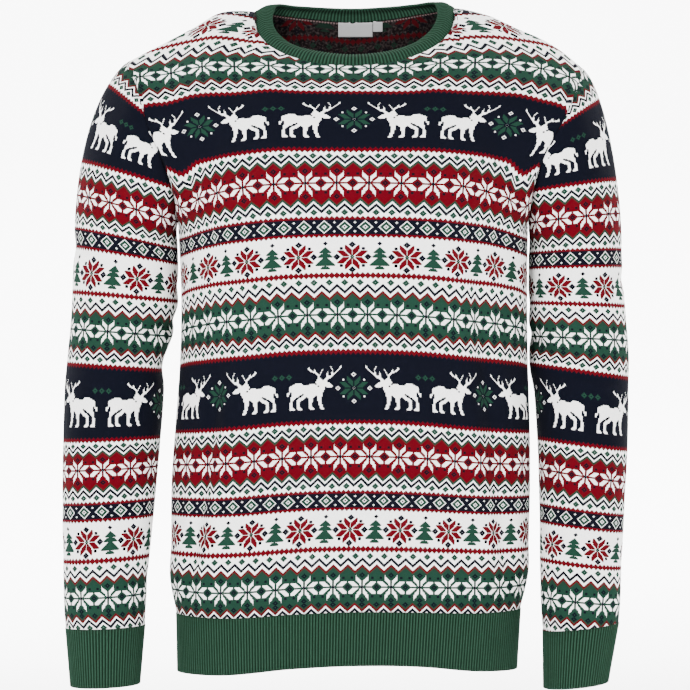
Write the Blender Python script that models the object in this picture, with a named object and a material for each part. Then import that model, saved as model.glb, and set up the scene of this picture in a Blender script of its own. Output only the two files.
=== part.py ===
"""A man's Fair Isle jumper, worn and hollow, with nobody in it.

The front faces -Y, +X is on the viewer's right and +Z is up.  The origin is where a
wearer's shoulders carry it: the middle of the neck, level with the shoulder ridges.
Sizes in the tables are millimetres; the meshes are metres.

Every piece is a thin knitted wall: an outer sheet of points, and the same sheet moved
in by the wall's thickness.  Pieces that are sewn together take the seam from one
shared line and stand SEAM_GAP apart along it.
"""
import bpy
import bmesh
import numpy as np

# ---------------------------------------------------------------- driving sizes
MM = 0.001
WALL = 2.2              # thickness of the stranded knit
SEAM_GAP = 0.3          # between pieces that are sewn together
ROUNDNESS = 2.3         # of the body's cross-section: 2 is an ellipse

ARMPIT_Z = -232.0
NECK_SHARE = 0.72       # part of each half of a panel that ends at the neck
NECK_COLUMNS = 8        # columns of each half panel that end at the neck
SHOULDER_COLUMNS = 6    # and at the shoulder seam
BODY_ROWS = 11          # rows of a panel below the armpits
YOKE_ROWS = 12          # rows above them, which set the points along the armholes
YOKE_LEAN = 2.2         # how late the columns turn in to the neck
YOKE_EDGE = 6           # how near the armhole its seam begins to steer a row
FULLNESS = {"front": 0.0, "back": 1.0}       # how broad the chest stays up to the neck
EASE_ROUNDS = {"front": 0, "back": 6}        # smoothing below the neck's corners
EASE_REACH = 0.2                             # how far to each side of them
EASE_RISE = (0.15, 0.5)                      # heights between which it sets in
CHEST_TAPER = 2.2       # how the chest thins towards the armholes

ARMHOLE_SCOOP = 52.0    # how far the armhole seam bows to the front and to the back
SCOOP_REACH = 3         # how far into the panel that bow is felt
SCOOP_ROUND = 2.0       # shape of the bow inside the panel
ARMHOLE_ROUND = 0.6     # and along the seam

SLEEVE_CAP_ROWS = 6
SLEEVE_ROWS = 13
CAP_LEAVE = {"left": 0.85, "right": 0.5}     # how long each cap keeps the shoulder's slope
CAP_START = {"out": (0.15, 0.72), "down": (0.95, 0.66), "forward": 0.25}   # armpit, shoulder

RIB_OUT = 0.7           # rib crest above the seam line
RIB_IN = -0.5           # and the furrow between two ribs
COLLAR_RIBS = 156
HEM_RIBS = 286
CUFF_RIBS = 78
COLLAR_WALL = 3.0       # the collar is knitted double
RIB_WALL = 2.4
COLLAR_INNER_COLUMNS = 72
HEM_INNER_COLUMNS = 78
SHARP_ANGLE = 50        # edges sharper than this, in degrees, stay crisp

LABEL_WALL = 1.0
LABEL_GAP = 0.5


def table(names, rows):
    """Rows with named columns, kept as one array for each name."""
    return dict(zip(names.split(), np.array(rows, float).T))


# Cross-sections of the body, from the hem up.  front and back are the distances
# from the side seams, which hang in the plane y = 0.
BODY = table("z left right front back", [
    (-712, -187.5, 175.0, 77, 76),
    (-690, -188.5, 176.0, 78, 77),
    (-662, -189.0, 177.5, 79, 78),
    (-650, -188.8, 177.5, 81, 80),
    (-634, -193.5, 183.5, 84, 83),
    (-572, -194.5, 188.0, 85, 84),
    (-508, -194.0, 189.5, 88, 86),
    (-444, -189.5, 189.0, 96, 91),
    (-380, -185.0, 187.0, 109, 97),
    (-300, -184.0, 186.5, 122, 102),
    (-232, -187.0, 187.0, 125, 104),
    (-180, -187.0, 186.5, 125, 104),    # steers the curves' upper ends
])

# The hem hangs lower at the sides: the drop of its two edges across the front.
HEM = table("across seam_z foot_z", [
    (-1.00, -649.5, -711.0),
    (-0.75, -651.0, -710.5),
    (-0.30, -645.0, -701.5),
    (0.00, -642.5, -698.5),
    (0.45, -643.5, -700.0),
    (0.75, -645.5, -706.0),
    (1.00, -644.5, -708.0),
])

# The shoulder ridge on each side, from the neck out to the sleeve seam.
RIDGE = {
    "left": table("out y z", [(105.5, 30, -4), (121, 28, -0.5), (140, 26, -4.5), (162, 24, -16.5),
                              (189, 21, -31.5), (215, 18, -45), (245, 15, -61)]),
    "right": table("out y z", [(109.5, 30, 0), (121, 28, 0.5), (140, 26, -6), (162, 24, -16),
                               (189, 21, -28.5), (215, 18, -41), (247.5, 15, -67)]),
}

# The armhole seam seen from the front: share of its height against distance from the middle.
ARMHOLE = {
    "left": table("height out", [(0, 187), (0.15, 190), (0.33, 199), (0.5, 211), (0.68, 222),
                                 (0.85, 231), (1, 244.5)]),
    "right": table("height out", [(0, 187), (0.15, 190), (0.33, 197), (0.5, 209), (0.68, 226),
                                  (0.85, 238), (1, 247.5)]),
}

# Sleeve rings below the cap, from the top down.  slope is the rise of a ring from its
# outer side to the body side, per millimetre.
SLEEVE = {
    "left": table("down z outer inner deep middle_y slope", [
        (0, -262, 299.0, 187.8, 57, 12, -0.16),
        (1, -300, 301.0, 187.2, 56, 14, -0.10),
        (2, -340, 303.0, 190.5, 54, 16, -0.07),
        (3, -380, 307.0, 204.5, 52, 16, -0.05),
        (4, -412, 309.5, 203.0, 52, 13, -0.02),
        (5, -476, 310.5, 207.0, 50, 3, 0.03),
        (6, -540, 310.0, 212.0, 47, -10, 0.05),
        (7, -604, 307.5, 217.5, 44, -24, 0.05),
        (8, -640, 306.0, 219.5, 43, -31, 0.04),
        (9, -661, 304.0, 220.5, 41, -34, 0.04),
    ]),
    "right": table("down z outer inner deep middle_y slope", [
        (0, -262, 288.5, 188.8, 55, 12, -0.06),
        (1, -300, 290.5, 188.6, 55, 14, -0.05),
        (2, -340, 293.5, 188.8, 54, 16, -0.08),
        (3, -380, 296.5, 190.0, 52, 16, -0.12),
        (4, -412, 296.0, 195.0, 52, 13, -0.12),
        (5, -476, 294.0, 198.0, 50, 3, -0.11),
        (6, -540, 289.5, 199.0, 47, -10, -0.09),
        (7, -604, 285.0, 198.5, 44, -24, -0.10),
        (8, -640, 283.0, 199.5, 43, -31, -0.11),
        (9, -661, 281.0, 201.0, 41, -34, -0.11),
    ]),
}

# The foot of each cuff.
CUFF = {
    "left": {"z": -722, "outer": 298.5, "inner": 225.5, "deep": 36, "middle_y": -38, "slope": 0.04},
    "right": {"z": -722, "outer": 269.5, "inner": 201.5, "deep": 36, "middle_y": -38, "slope": -0.10},
}

# The neck seam and, opposite each of its points, the collar's top edge: round is -1 in
# the middle of the back, 0 at the shoulder seam and 1 in the middle of the front.
# The first and last rows lie past the middle, on the other side.
NECK = table("round left right y z_left z_right"
             " edge_left edge_right edge_y edge_z_left edge_z_right", [
    (-1.25, -39, -41, 69, -7.5, -7, -34, -35, 61.5, 5, 5.5),
    (-1.00, 0, 0, 72, -10, -10, 0, 0, 63.5, 4, 4),
    (-0.75, 39, 41, 69, -7.5, -7, 34, 35, 61.5, 5, 5.5),
    (-0.50, 73, 76, 61, -4.5, -2, 62, 65, 55, 6, 7.5),
    (-0.25, 96, 101, 48, -2.5, 1, 79, 84, 45, 6.5, 8.5),
    (0.00, 105.5, 109.5, 30, -4, 0, 84, 89.5, 31, 0.5, 3.5),
    (0.17, 105, 109, 14, -12, -10.5, 86, 90.5, 12, -12.5, -9),
    (0.33, 103.5, 106.5, 0, -23.5, -22.5, 84, 86, -3, -23.5, -22),
    (0.50, 97, 98, -18, -37.5, -36.5, 77, 76, -15, -34, -34),
    (0.67, 80, 80, -35, -52, -51, 62, 60, -28, -45.5, -45),
    (0.83, 47, 46, -52, -65.5, -65, 36, 35, -40, -53, -53),
    (1.00, 0, 0, -60, -70, -70, 0, 0, -46, -57, -57),
    (1.17, -47, -46, -52, -65.5, -65, -36, -35, -40, -53, -53),
])
COLLAR_BULGE = 2.5      # the collar's roll outward between its two edges
COLLAR_CREST = 0.55     # and how far up that roll is fullest

# The wall's outward direction round the neck: how far it leans out at the sides and at
# the front and back, against how far it points up.
NECK_WALL = {"half_width": 105, "half_depth": 75, "centre_y": 12,
             "lean_side": 0.62, "lean_front": 0.64, "up": 0.78}

# How a panel rounds over to its top edge, from the middle of the panel to the armhole:
# bend says how late it turns in, and round how full it stays up to the ridge.
YOKE = table("reach bend_front bend_back round_front round_back", [
    (0.00, 3.00, 2.2, 1.00, 1.00),
    (0.37, 3.00, 2.2, 1.00, 1.05),
    (0.50, 2.93, 2.3, 1.09, 1.45),
    (0.62, 2.80, 2.4, 1.25, 1.80),
    (0.74, 2.66, 2.5, 1.42, 2.10),
    (0.87, 2.60, 2.6, 1.50, 1.75),
    (1.00, 2.60, 2.6, 1.50, 1.50),
])

# Long hanging folds of the two panels, as lines seen from the front: a trough where
# depth is positive and a ridge where it is negative.
FOLD_HEAD = (0.15, 0.35)    # shares of a fold over which it begins
FOLD_FOOT = (0.12, 0.30)    # and over which it dies out
FOLDS = {
    "front": table("x_top z_top x_foot z_foot width depth", [
        (-138, -385, -177, -625, 9, 6.0),
        (-126, -400, -158, -630, 11, -3.5),
        (129, -285, 169, -638, 10, 5.5),
        (112, -330, 146, -640, 12, -3.0),
        (-158, -238, -118, -330, 11, 3.0),
        (160, -240, 128, -320, 10, 2.5),
        (-178, -200, -140, -150, 10, 4.0),
        (180, -205, 146, -150, 10, 4.0),
    ]),
    "back": table("x_top z_top x_foot z_foot width depth", [
        (-131, -330, -168, -615, 11, 5.5),
        (-112, -380, -141, -625, 12, -3.5),
        (140, -360, 172, -628, 10, 5.0),
        (118, -350, 150, -600, 13, -3.0),
        (-22, -420, 10, -640, 16, 2.5),
        (-160, -215, -96, -300, 12, 4.0),
        (158, -220, 102, -290, 11, 3.5),
        (4, -330, -30, -470, 18, -2.0),
    ]),
}

# Creases across each sleeve: where round the sleeve (0 is its outer side and 90 its
# front), how far round and along they reach, and how they slant.
CREASES = {
    "left": table("turn z reach width slant depth", [
        (120, -262, 55, 9, 0.35, 4.5),
        (35, -268, 45, 10, -0.30, 3.0),
        (150, -348, 50, 10, 0.30, 5.0),
        (95, -372, 45, 11, 0.25, 3.0),
        (250, -350, 60, 11, -0.25, 4.5),
        (215, -290, 45, 10, 0.30, 3.5),
        (70, -560, 55, 13, 0.30, 2.5),
        (285, -520, 60, 14, -0.20, 3.0),
        (130, -618, 55, 9, 0.15, 2.0),
    ]),
    "right": table("turn z reach width slant depth", [
        (125, -270, 50, 9, 0.30, 4.0),
        (30, -300, 45, 10, -0.25, 3.0),
        (150, -365, 50, 10, 0.35, 5.0),
        (85, -395, 50, 12, 0.20, 3.0),
        (245, -340, 60, 11, -0.30, 4.5),
        (300, -285, 45, 10, 0.25, 3.5),
        (75, -575, 55, 13, 0.25, 2.5),
        (275, -500, 60, 14, -0.25, 3.0),
        (120, -625, 55, 9, 0.20, 2.0),
    ]),
}

# The neck label and the size tab: their places on the inside of the back.
LABELS = {
    "neck_label": {"left": -16.0, "right": 21.5, "top": -12.5, "foot": -28.5, "columns": 4},
    "size_tab": {"left": 22.0, "right": 32.5, "top": -12.5, "foot": -23.0, "columns": 2},
}

COLOURS = {
    "knit": (0.055, 0.030, 0.040, 1.0),
    "rib": (0.035, 0.105, 0.055, 1.0),
    "label": (0.55, 0.55, 0.53, 1.0),
}


# ---------------------------------------------------------------- curves
def follow(rows, at_name, name, at):
    """A smooth curve through a table's rows: the value of one column where another is `at`."""
    knots, values = rows[at_name], rows[name]
    slopes = np.gradient(values, knots)
    at = np.clip(at, knots[0], knots[-1])
    i = np.clip(np.searchsorted(knots, at) - 1, 0, len(knots) - 2)
    step = knots[i + 1] - knots[i]
    t = (at - knots[i]) / step
    return ((1 + 2 * t) * (1 - t) ** 2 * values[i] + t * (1 - t) ** 2 * step * slopes[i]
            + t * t * (3 - 2 * t) * values[i + 1] + t * t * (t - 1) * step * slopes[i + 1])


def unit(vectors):
    return vectors / np.maximum(np.linalg.norm(vectors, axis=-1, keepdims=True), 1e-9)


def mix(a, b, share):
    return a + (b - a) * share


def smooth_step(t):
    t = np.clip(t, 0, 1)
    return t * t * (3 - 2 * t)


def sheet_normals(points, closed):
    """Unit normals of a sheet of points, from the directions along its rows and columns."""
    if closed:
        around = np.roll(points, -1, axis=1) - np.roll(points, 1, axis=1)
    else:
        around = np.gradient(points, axis=1)
    along = np.gradient(points, axis=0)
    return unit(np.cross(around, along))


def on_loop(loop, shares):
    """Points at equal shares of the way round a closed line of straight stitches."""
    ends = np.vstack([loop, loop[:1]])
    way = np.concatenate([[0], np.cumsum(np.linalg.norm(np.diff(ends[:, :3], axis=0), axis=1))])
    return np.stack([np.interp(shares * way[-1], way, column) for column in ends.T], axis=1)


# ---------------------------------------------------------------- meshes
def sheet_faces(bm, rows, closed, outward):
    """Two triangles for each square of a sheet of vertices."""
    for low, high in zip(rows[:-1], rows[1:]):
        count = len(low)
        for a in range(count if closed else count - 1):
            b = (a + 1) % count
            corners = [low[a], low[b], high[b], high[a]]
            for three in ((0, 1, 2), (0, 2, 3)):
                order = three if outward else three[::-1]
                bm.faces.new([corners[k] for k in order])


def rim_faces(bm, outer, inner, closed, flip):
    """Triangles between two edge lines, which may have different numbers of points."""
    n, m = len(outer), len(inner)
    steps_out, steps_in = (n, m) if closed else (n - 1, m - 1)
    i = j = 0
    while i < steps_out or j < steps_in:
        outer_is_next = (i + 0.5) * steps_in <= (j + 0.5) * steps_out
        if j == steps_in or (i < steps_out and outer_is_next):
            face = [outer[i % n], inner[j % m], outer[(i + 1) % n]]
            i += 1
        else:
            face = [outer[i % n], inner[j % m], inner[(j + 1) % m]]
            j += 1
        bm.faces.new(face[::-1] if flip else face)


def make_solid(name, outer, inner, closed, colour):
    """A closed wall between an outer and an inner sheet of points, in millimetres."""
    bm = bmesh.new()
    rows_out = [[bm.verts.new(p * MM) for p in row] for row in outer]
    rows_in = [[bm.verts.new(p * MM) for p in row] for row in inner]
    sheet_faces(bm, rows_out, closed, True)
    sheet_faces(bm, rows_in, closed, False)
    rim_faces(bm, rows_out[0], rows_in[0], closed, False)
    rim_faces(bm, rows_out[-1], rows_in[-1], closed, True)
    if not closed:
        rim_faces(bm, [r[0] for r in rows_out], [r[0] for r in rows_in], False, True)
        rim_faces(bm, [r[-1] for r in rows_out], [r[-1] for r in rows_in], False, False)
    bmesh.ops.recalc_face_normals(bm, faces=bm.faces)
    mesh = bpy.data.meshes.new(name)
    bm.to_mesh(mesh)
    bm.free()
    mesh.materials.append(material(colour))
    mesh.shade_smooth()
    mesh.set_sharp_from_angle(angle=np.radians(SHARP_ANGLE))
    part = bpy.data.objects.new(name, mesh)
    part.parent = JUMPER
    COLLECTION.objects.link(part)
    return part


def material(colour):
    made = bpy.data.materials.get(colour)
    if made is None:
        made = bpy.data.materials.new(colour)
        made.use_nodes = True
        shader = made.node_tree.nodes["Principled BSDF"]
        shader.inputs["Base Color"].default_value = COLOURS[colour]
        shader.inputs["Roughness"].default_value = 0.92
        shader.inputs["Metallic"].default_value = 0.0
    return made


# ---------------------------------------------------------------- front and back
def column_places():
    """Where a panel's columns lie across it, from -1 at the left side to 1 at the right."""
    neck = NECK_SHARE * np.arange(NECK_COLUMNS + 1) / NECK_COLUMNS
    turn = np.arange(1, SHOULDER_COLUMNS + 1) / SHOULDER_COLUMNS
    half = np.concatenate([neck, NECK_SHARE + (1 - NECK_SHARE) * np.sin(turn * np.pi / 2)])
    return np.concatenate([-half[:0:-1], half])


def yoke_places():
    """Shares of the height from the armpits to the top edge, closest at both ends."""
    return (1 - np.cos(np.pi * np.arange(YOKE_ROWS + 1) / YOKE_ROWS)) / 2


def neck_point(place, side, edge=""):
    """A point of the neck seam, or with edge="edge_" of the collar's top edge above it."""
    out, y, z = (follow(NECK, "round", edge + name, place) for name in (side, "y", "z_" + side))
    return (-out if side == "left" else out, y, z)


def top_edge(across, face):
    """The panel's top edge: the shoulder seams, and the neckline between them."""
    points = np.zeros((len(across), 3))
    toward_middle = 1 if face == "front" else -1
    for k, place in enumerate(across):
        side = "left" if place < 0 else "right"
        sign = -1 if place < 0 else 1
        ridge = RIDGE[side]
        if abs(place) >= NECK_SHARE - 1e-9:
            along = (abs(place) - NECK_SHARE) / (1 - NECK_SHARE)
            out = mix(ridge["out"][0], ridge["out"][-1], along)
            points[k] = (sign * out, follow(ridge, "out", "y", out), follow(ridge, "out", "z", out))
        else:
            points[k] = neck_point(toward_middle * (1 - abs(place) / NECK_SHARE), side)
    return points


def body_section(across, z, face):
    """A point of the body's tube below the armpits."""
    left, right = follow(BODY, "z", "left", z), follow(BODY, "z", "right", z)
    depth = follow(BODY, "z", face, z) * (-1 if face == "front" else 1)
    round_off = (1 - np.abs(across) ** ROUNDNESS) ** (1 / ROUNDNESS)
    return np.stack([mix(left, right, (across + 1) / 2), depth * round_off, z], axis=-1)


def yoke_row(across, height, top, face):
    """A row of the panel above the armpits, at one share of the way to the top edge."""
    start = body_section(across, np.full_like(across, ARMPIT_Z), face)
    reach = np.abs(across)
    hole = np.where(across < 0, -follow(ARMHOLE["left"], "height", "out", height),
                    follow(ARMHOLE["right"], "height", "out", height))
    straight = mix(start[:, 0], top[:, 0], height ** YOKE_LEAN)
    edge = np.where(across < 0, straight[0], straight[-1])
    x = straight + reach ** YOKE_EDGE * (hole - edge)
    sign = -1 if face == "front" else 1
    chest = follow(BODY, "z", face, ARMPIT_Z) * sign
    share = np.clip(x / np.where(x < 0, x[0], x[-1]), 0, 1)
    open_chest = chest * (1 - mix(reach, share, FULLNESS[face]) ** CHEST_TAPER)
    base = mix(start[:, 1], open_chest, smooth_step(height * 2))
    bend = follow(YOKE, "reach", "bend_" + face, reach)
    fall = (1 - height ** bend) ** (1 / follow(YOKE, "reach", "round_" + face, reach))
    bow = mix(SCOOP_ROUND, ARMHOLE_ROUND, reach ** 8)
    scoop = sign * ARMHOLE_SCOOP * np.sin(np.pi * np.clip(height, 0, 1)) ** bow
    y = top[:, 1] + (base - top[:, 1]) * fall + scoop * reach ** SCOOP_REACH
    z = mix(ARMPIT_Z, top[:, 2], height)
    return np.stack([x, y, z], axis=-1)


def ease_yoke(across, points, rounds):
    """Smooth the yoke's depth from column to column below the neck's corners."""
    low, high = EASE_RISE
    risen = smooth_step((yoke_places()[1:-1] - low) / (high - low))[:, None]
    near_corner = risen * np.exp(-((np.abs(across[1:-1]) - NECK_SHARE) / EASE_REACH) ** 2) / 2
    inside = points[BODY_ROWS + 1:-1]
    for _ in range(rounds):
        x, y = inside[:, :, 0], inside[:, :, 1]
        share = (x[:, 1:-1] - x[:, :-2]) / (x[:, 2:] - x[:, :-2])
        eased = mix(y[:, :-2], y[:, 2:], share)
        inside[:, 1:-1, 1] = mix(y[:, 1:-1], eased, near_corner)


def fold_depth(points, rows):
    """How far the folds press each point in."""
    depth = np.zeros(points.shape[:-1])
    for k in range(len(rows["depth"])):
        top = np.array([rows["x_top"][k], rows["z_top"][k]])
        foot = np.array([rows["x_foot"][k], rows["z_foot"][k]])
        line = foot - top
        away = points[..., [0, 2]] - top
        along = (away @ line) / (line @ line)
        off = (away[..., 0] * line[1] - away[..., 1] * line[0]) / np.linalg.norm(line)
        fade = smooth_step((along + FOLD_HEAD[0]) / FOLD_HEAD[1])
        fade = fade * smooth_step((1 + FOLD_FOOT[0] - along) / FOLD_FOOT[1])
        depth += rows["depth"][k] * fade * np.exp(-(off / rows["width"][k]) ** 2)
    return depth


def panel_sheet(face):
    """Outer points and wall directions of the front or the back, rows from the hem up."""
    across = column_places()
    top = top_edge(across, face)
    rows = []
    for share in np.arange(BODY_ROWS) / BODY_ROWS:
        z = mix(follow(HEM, "across", "seam_z", across), ARMPIT_Z, share)
        rows.append(body_section(across, z, face))
    for height in yoke_places():
        rows.append(yoke_row(across, height, top, face))
    points = np.array(rows)
    ease_yoke(across, points, EASE_ROUNDS[face])
    normals = sheet_normals(points, False) * (1 if face == "front" else -1)
    free = 1 - np.abs(across) ** 12
    hem_fade = smooth_step(np.arange(len(points)) / 1.5)[:, None]
    points = points - normals * (fold_depth(points, FOLDS[face]) * free * hem_fade)[..., None]
    return across, points, sheet_normals(points, False) * (1 if face == "front" else -1)


def armhole_line(side):
    """The armhole seam, from the shoulder tip down the front, under the arm and up the back."""
    edge = 0 if side == "left" else -1
    front = PANELS["front"][1][BODY_ROWS:, edge]
    back = PANELS["back"][1][BODY_ROWS:, edge]
    return np.vstack([front[::-1], back[1:-1]])


def armhole_frame(line, side):
    """The direction from body to sleeve, and the wall's outward direction along the seam."""
    tip, under = line[0], line[YOKE_ROWS]
    down = unit(under - tip)
    to_sleeve = unit(np.cross(down, [0, 1, 0]) * (-1 if side == "left" else 1))
    ahead = unit(np.roll(line, -1, axis=0) - np.roll(line, 1, axis=0))
    outward = unit(np.cross(ahead, to_sleeve))
    middle = line.mean(axis=0)
    if np.sum(outward * (line - middle)) < 0:
        outward = -outward
    return to_sleeve, outward


def neck_outward(points):
    """The wall's outward direction round the neck seam, for the panels and the collar."""
    wall = NECK_WALL
    return unit(np.stack([points[:, 0] / wall["half_width"] * wall["lean_side"],
                          (points[:, 1] - wall["centre_y"]) / wall["half_depth"] * wall["lean_front"],
                          np.full(len(points), wall["up"])], axis=1))


def make_panel(face):
    """The front or the back as a solid, with the gap of a seam along its edges."""
    across, points, normals = PANELS[face]
    sign = -1 if face == "front" else 1
    outer, outward = points.copy(), normals.copy()
    half_gap = SEAM_GAP / 2
    for edge, side in ((0, "left"), (-1, "right")):
        outer[:BODY_ROWS, edge, 1] += sign * half_gap
        outward[:BODY_ROWS, edge] = (-1 if side == "left" else 1, 0, 0)
        line = armhole_line(side)
        to_sleeve, seam_out = armhole_frame(line, side)
        if face == "front":
            picked = np.arange(YOKE_ROWS, -1, -1)
        else:
            picked = np.arange(YOKE_ROWS, 2 * YOKE_ROWS + 1) % (2 * YOKE_ROWS)
        outer[BODY_ROWS:, edge] -= half_gap * to_sleeve
        outer[BODY_ROWS, edge, 1] += sign * half_gap
        outward[BODY_ROWS:, edge] = seam_out[picked]
    shoulder = np.abs(across) >= NECK_SHARE - 1e-9
    outer[-1, shoulder, 1] += sign * half_gap
    ridge_out = outward[-1].copy()
    ridge_out[:, 1] = 0
    outward[-1, shoulder] = unit(ridge_out[shoulder])
    neck = np.abs(across) <= NECK_SHARE + 1e-9
    outward[-1, neck] = neck_outward(points[-1, neck])
    inner = outer - WALL * outward
    if face == "front":
        make_solid(face, outer, inner, False, "knit")
    else:
        make_solid(face, outer[:, ::-1], inner[:, ::-1], False, "knit")
    return inner


# ---------------------------------------------------------------- sleeves and cuffs
def tube_ring(ring, turns, side):
    """One ring of a sleeve or cuff; turns run from its outer side to the front and round."""
    sign = -1 if side == "left" else 1
    half = (ring["outer"] - ring["inner"]) / 2
    out = (ring["outer"] + ring["inner"]) / 2 + half * np.cos(turns)
    y = ring["middle_y"] - ring["deep"] * np.sin(turns)
    z = ring["z"] - ring["slope"] * half * np.cos(turns)
    return np.stack([sign * out, y, z], axis=-1)


def sleeve_ring(down, turns, side):
    """The ring of a sleeve at one place down its table."""
    rows = SLEEVE[side]
    return tube_ring({name: follow(rows, "down", name, down) for name in rows}, turns, side)


def cap_row(line, ring, way, side):
    """A row of the sleeve cap: each point on its own curve from the seam to the first ring."""
    sign = -1 if side == "left" else 1
    turns = 2 * np.pi * np.arange(len(line)) / len(line)
    outside = (1 + np.cos(turns)) / 2
    leave = unit(np.stack([sign * mix(*CAP_START["out"], outside),
                           -CAP_START["forward"] * np.sin(turns),
                           -mix(*CAP_START["down"], outside)], axis=1))
    span = np.linalg.norm(ring - line, axis=1)[:, None]
    arrive = np.array([0.0, 0.0, -1.0])
    t = way
    return ((1 + 2 * t) * (1 - t) ** 2 * line + t * (1 - t) ** 2 * CAP_LEAVE[side] * span * leave
            + t * t * (3 - 2 * t) * ring + t * t * (t - 1) * span * arrive)


def crease_depth(turns, z, rows):
    """How far the creases press each point of a sleeve in."""
    depth = np.zeros(np.broadcast(turns, z).shape)
    for k in range(len(rows["depth"])):
        round_by = (np.degrees(turns) - rows["turn"][k] + 180) % 360 - 180
        level = rows["z"][k] + rows["slant"][k] * round_by
        along = np.exp(-((z - level) / rows["width"][k]) ** 2)
        depth += rows["depth"][k] * along * np.exp(-(round_by / rows["reach"][k]) ** 2)
    return depth


def make_sleeve(side):
    """A sleeve, set into its armhole, down to the seam of its cuff."""
    line = armhole_line(side)
    to_sleeve, seam_out = armhole_frame(line, side)
    turns = 2 * np.pi * np.arange(len(line)) / len(line)
    first = sleeve_ring(0, turns, side)
    seam = line + SEAM_GAP / 2 * to_sleeve
    rows = [cap_row(seam, first, k / SLEEVE_CAP_ROWS, side) for k in range(SLEEVE_CAP_ROWS)]
    last = SLEEVE[side]["down"][-1]
    rows += [sleeve_ring(last * k / SLEEVE_ROWS, turns, side) for k in range(SLEEVE_ROWS + 1)]
    points = np.array(rows)
    turn_round = 1 if side == "left" else -1
    normals = sheet_normals(points, True) * turn_round
    if np.mean(normals[-1, :, 0] * (points[-1, :, 0] - points[-1, :, 0].mean())) < 0:
        normals = -normals
    fade = smooth_step(np.arange(len(points)) / 3)[:, None]
    fade = fade * smooth_step((len(points) - 1 - np.arange(len(points))) / 1.5)[:, None]
    depth = crease_depth(turns[None, :], points[..., 2], CREASES[side]) * fade
    points = points - normals * depth[..., None]
    normals[0] = seam_out
    inner = points - WALL * normals
    make_solid("sleeve_" + side, points[::-1], inner[::-1], True, "knit")
    return points[-1]


def ribbed(loop_outer, outward, ribs):
    """Crest and furrow points along a closed line, with the wall's direction at each."""
    shares = np.arange(2 * ribs) / (2 * ribs)
    both = on_loop(np.hstack([loop_outer, outward]), shares)
    lift = np.where(np.arange(2 * ribs) % 2 == 0, RIB_OUT, RIB_IN)[:, None]
    return both[:, :3] + lift * unit(both[:, 3:])


def make_cuff(side, sleeve_end):
    """A ribbed cuff, a straight tube below the sleeve's last ring."""
    turns = 2 * np.pi * np.arange(len(sleeve_end)) / len(sleeve_end)
    points = np.array([sleeve_end - [0, 0, SEAM_GAP], tube_ring(CUFF[side], turns, side)])
    middle = points.mean(axis=1, keepdims=True)
    outward = unit((points - middle) * [1, 1, 0])
    outer = np.array([ribbed(points[k], outward[k], CUFF_RIBS) for k in range(len(points))])
    inner = points - RIB_WALL * outward
    make_solid("cuff_" + side, outer[::-1], inner[::-1], True, "rib")


# ---------------------------------------------------------------- hem and collar
def body_loop(row):
    """The closed line round both panels at one of their rows, without the seam gap."""
    front, back = PANELS["front"][1][row], PANELS["back"][1][row]
    return np.vstack([front, back[-2:0:-1]])


def make_hem():
    """The ribbed hem, a tube below the two panels."""
    across = column_places()
    seam = body_loop(0) - [0, 0, SEAM_GAP]
    z = follow(HEM, "across", "foot_z", across)
    front, back = body_section(across, z, "front"), body_section(across, z, "back")
    points = np.array([seam, np.vstack([front, back[-2:0:-1]])])
    outward = unit(sheet_normals(points, True) * [1, 1, 0])
    if np.sum(outward[0] * (points[0] - points[0].mean(axis=0))) < 0:
        outward = -outward
    outer = np.array([ribbed(points[k], outward[k], HEM_RIBS) for k in range(len(points))])
    shares = np.arange(HEM_INNER_COLUMNS) / HEM_INNER_COLUMNS
    inner = []
    for k in range(len(points)):
        both = on_loop(np.hstack([points[k], outward[k]]), shares)
        inner.append(both[:, :3] - RIB_WALL * unit(both[:, 3:]))
    make_solid("hem_rib", outer[::-1], np.array(inner)[::-1], True, "rib")


def neck_places():
    """The places of the neck seam's points, from the back middle by way of the left side."""
    half = np.arange(-NECK_COLUMNS, NECK_COLUMNS + 1) / NECK_COLUMNS
    return [("left", place) for place in half] + [("right", place) for place in half[-2:0:-1]]


def make_collar():
    """The ribbed collar: a double band that rises from the neck seam to its rolled edge."""
    seam = np.array([neck_point(place, side) for side, place in neck_places()])
    out_seam = neck_outward(seam)
    top = np.array([neck_point(place, side, "edge_") for side, place in neck_places()])
    rise = unit(top - seam)
    base = seam + SEAM_GAP * rise
    leaning = unit(np.cross(np.roll(top, -1, axis=0) - np.roll(top, 1, axis=0), rise))
    if np.sum(leaning * out_seam) < 0:
        leaning = -leaning
    middle = mix(base, top, COLLAR_CREST) + COLLAR_BULGE * leaning
    directions = [out_seam, leaning, unit(leaning + 0.5 * rise)]
    lines = [base, middle, top]
    outer = np.array([ribbed(line, way, COLLAR_RIBS) for line, way in zip(lines, directions)])
    shares = np.arange(COLLAR_INNER_COLUMNS) / COLLAR_INNER_COLUMNS
    inner = []
    for line, way in zip(lines, (out_seam, leaning, leaning)):
        both = on_loop(np.hstack([line, way]), shares)
        inner.append(both[:, :3] - COLLAR_WALL * unit(both[:, 3:]))
    make_solid("collar", outer, np.array(inner), True, "rib")


# ---------------------------------------------------------------- labels
def back_inside(x, z):
    """The point and outward direction on the inside of the back, at a place seen from the front."""
    yoke = INSIDES["back"][BODY_ROWS:]
    outward = -sheet_normals(yoke, False)
    found, ways = [], []
    for k in range(SHOULDER_COLUMNS, SHOULDER_COLUMNS + 2 * NECK_COLUMNS + 1):
        heights = yoke[:, k, 2]
        found.append([np.interp(z, heights, yoke[:, k, axis]) for axis in range(3)])
        ways.append([np.interp(z, heights, outward[:, k, axis]) for axis in range(3)])
    found, ways = np.array(found), np.array(ways)
    y = np.interp(x, found[:, 0], found[:, 1])
    way = unit(np.array([np.interp(x, found[:, 0], ways[:, axis]) for axis in range(3)]))
    return np.array([x, y, z]), way


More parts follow.
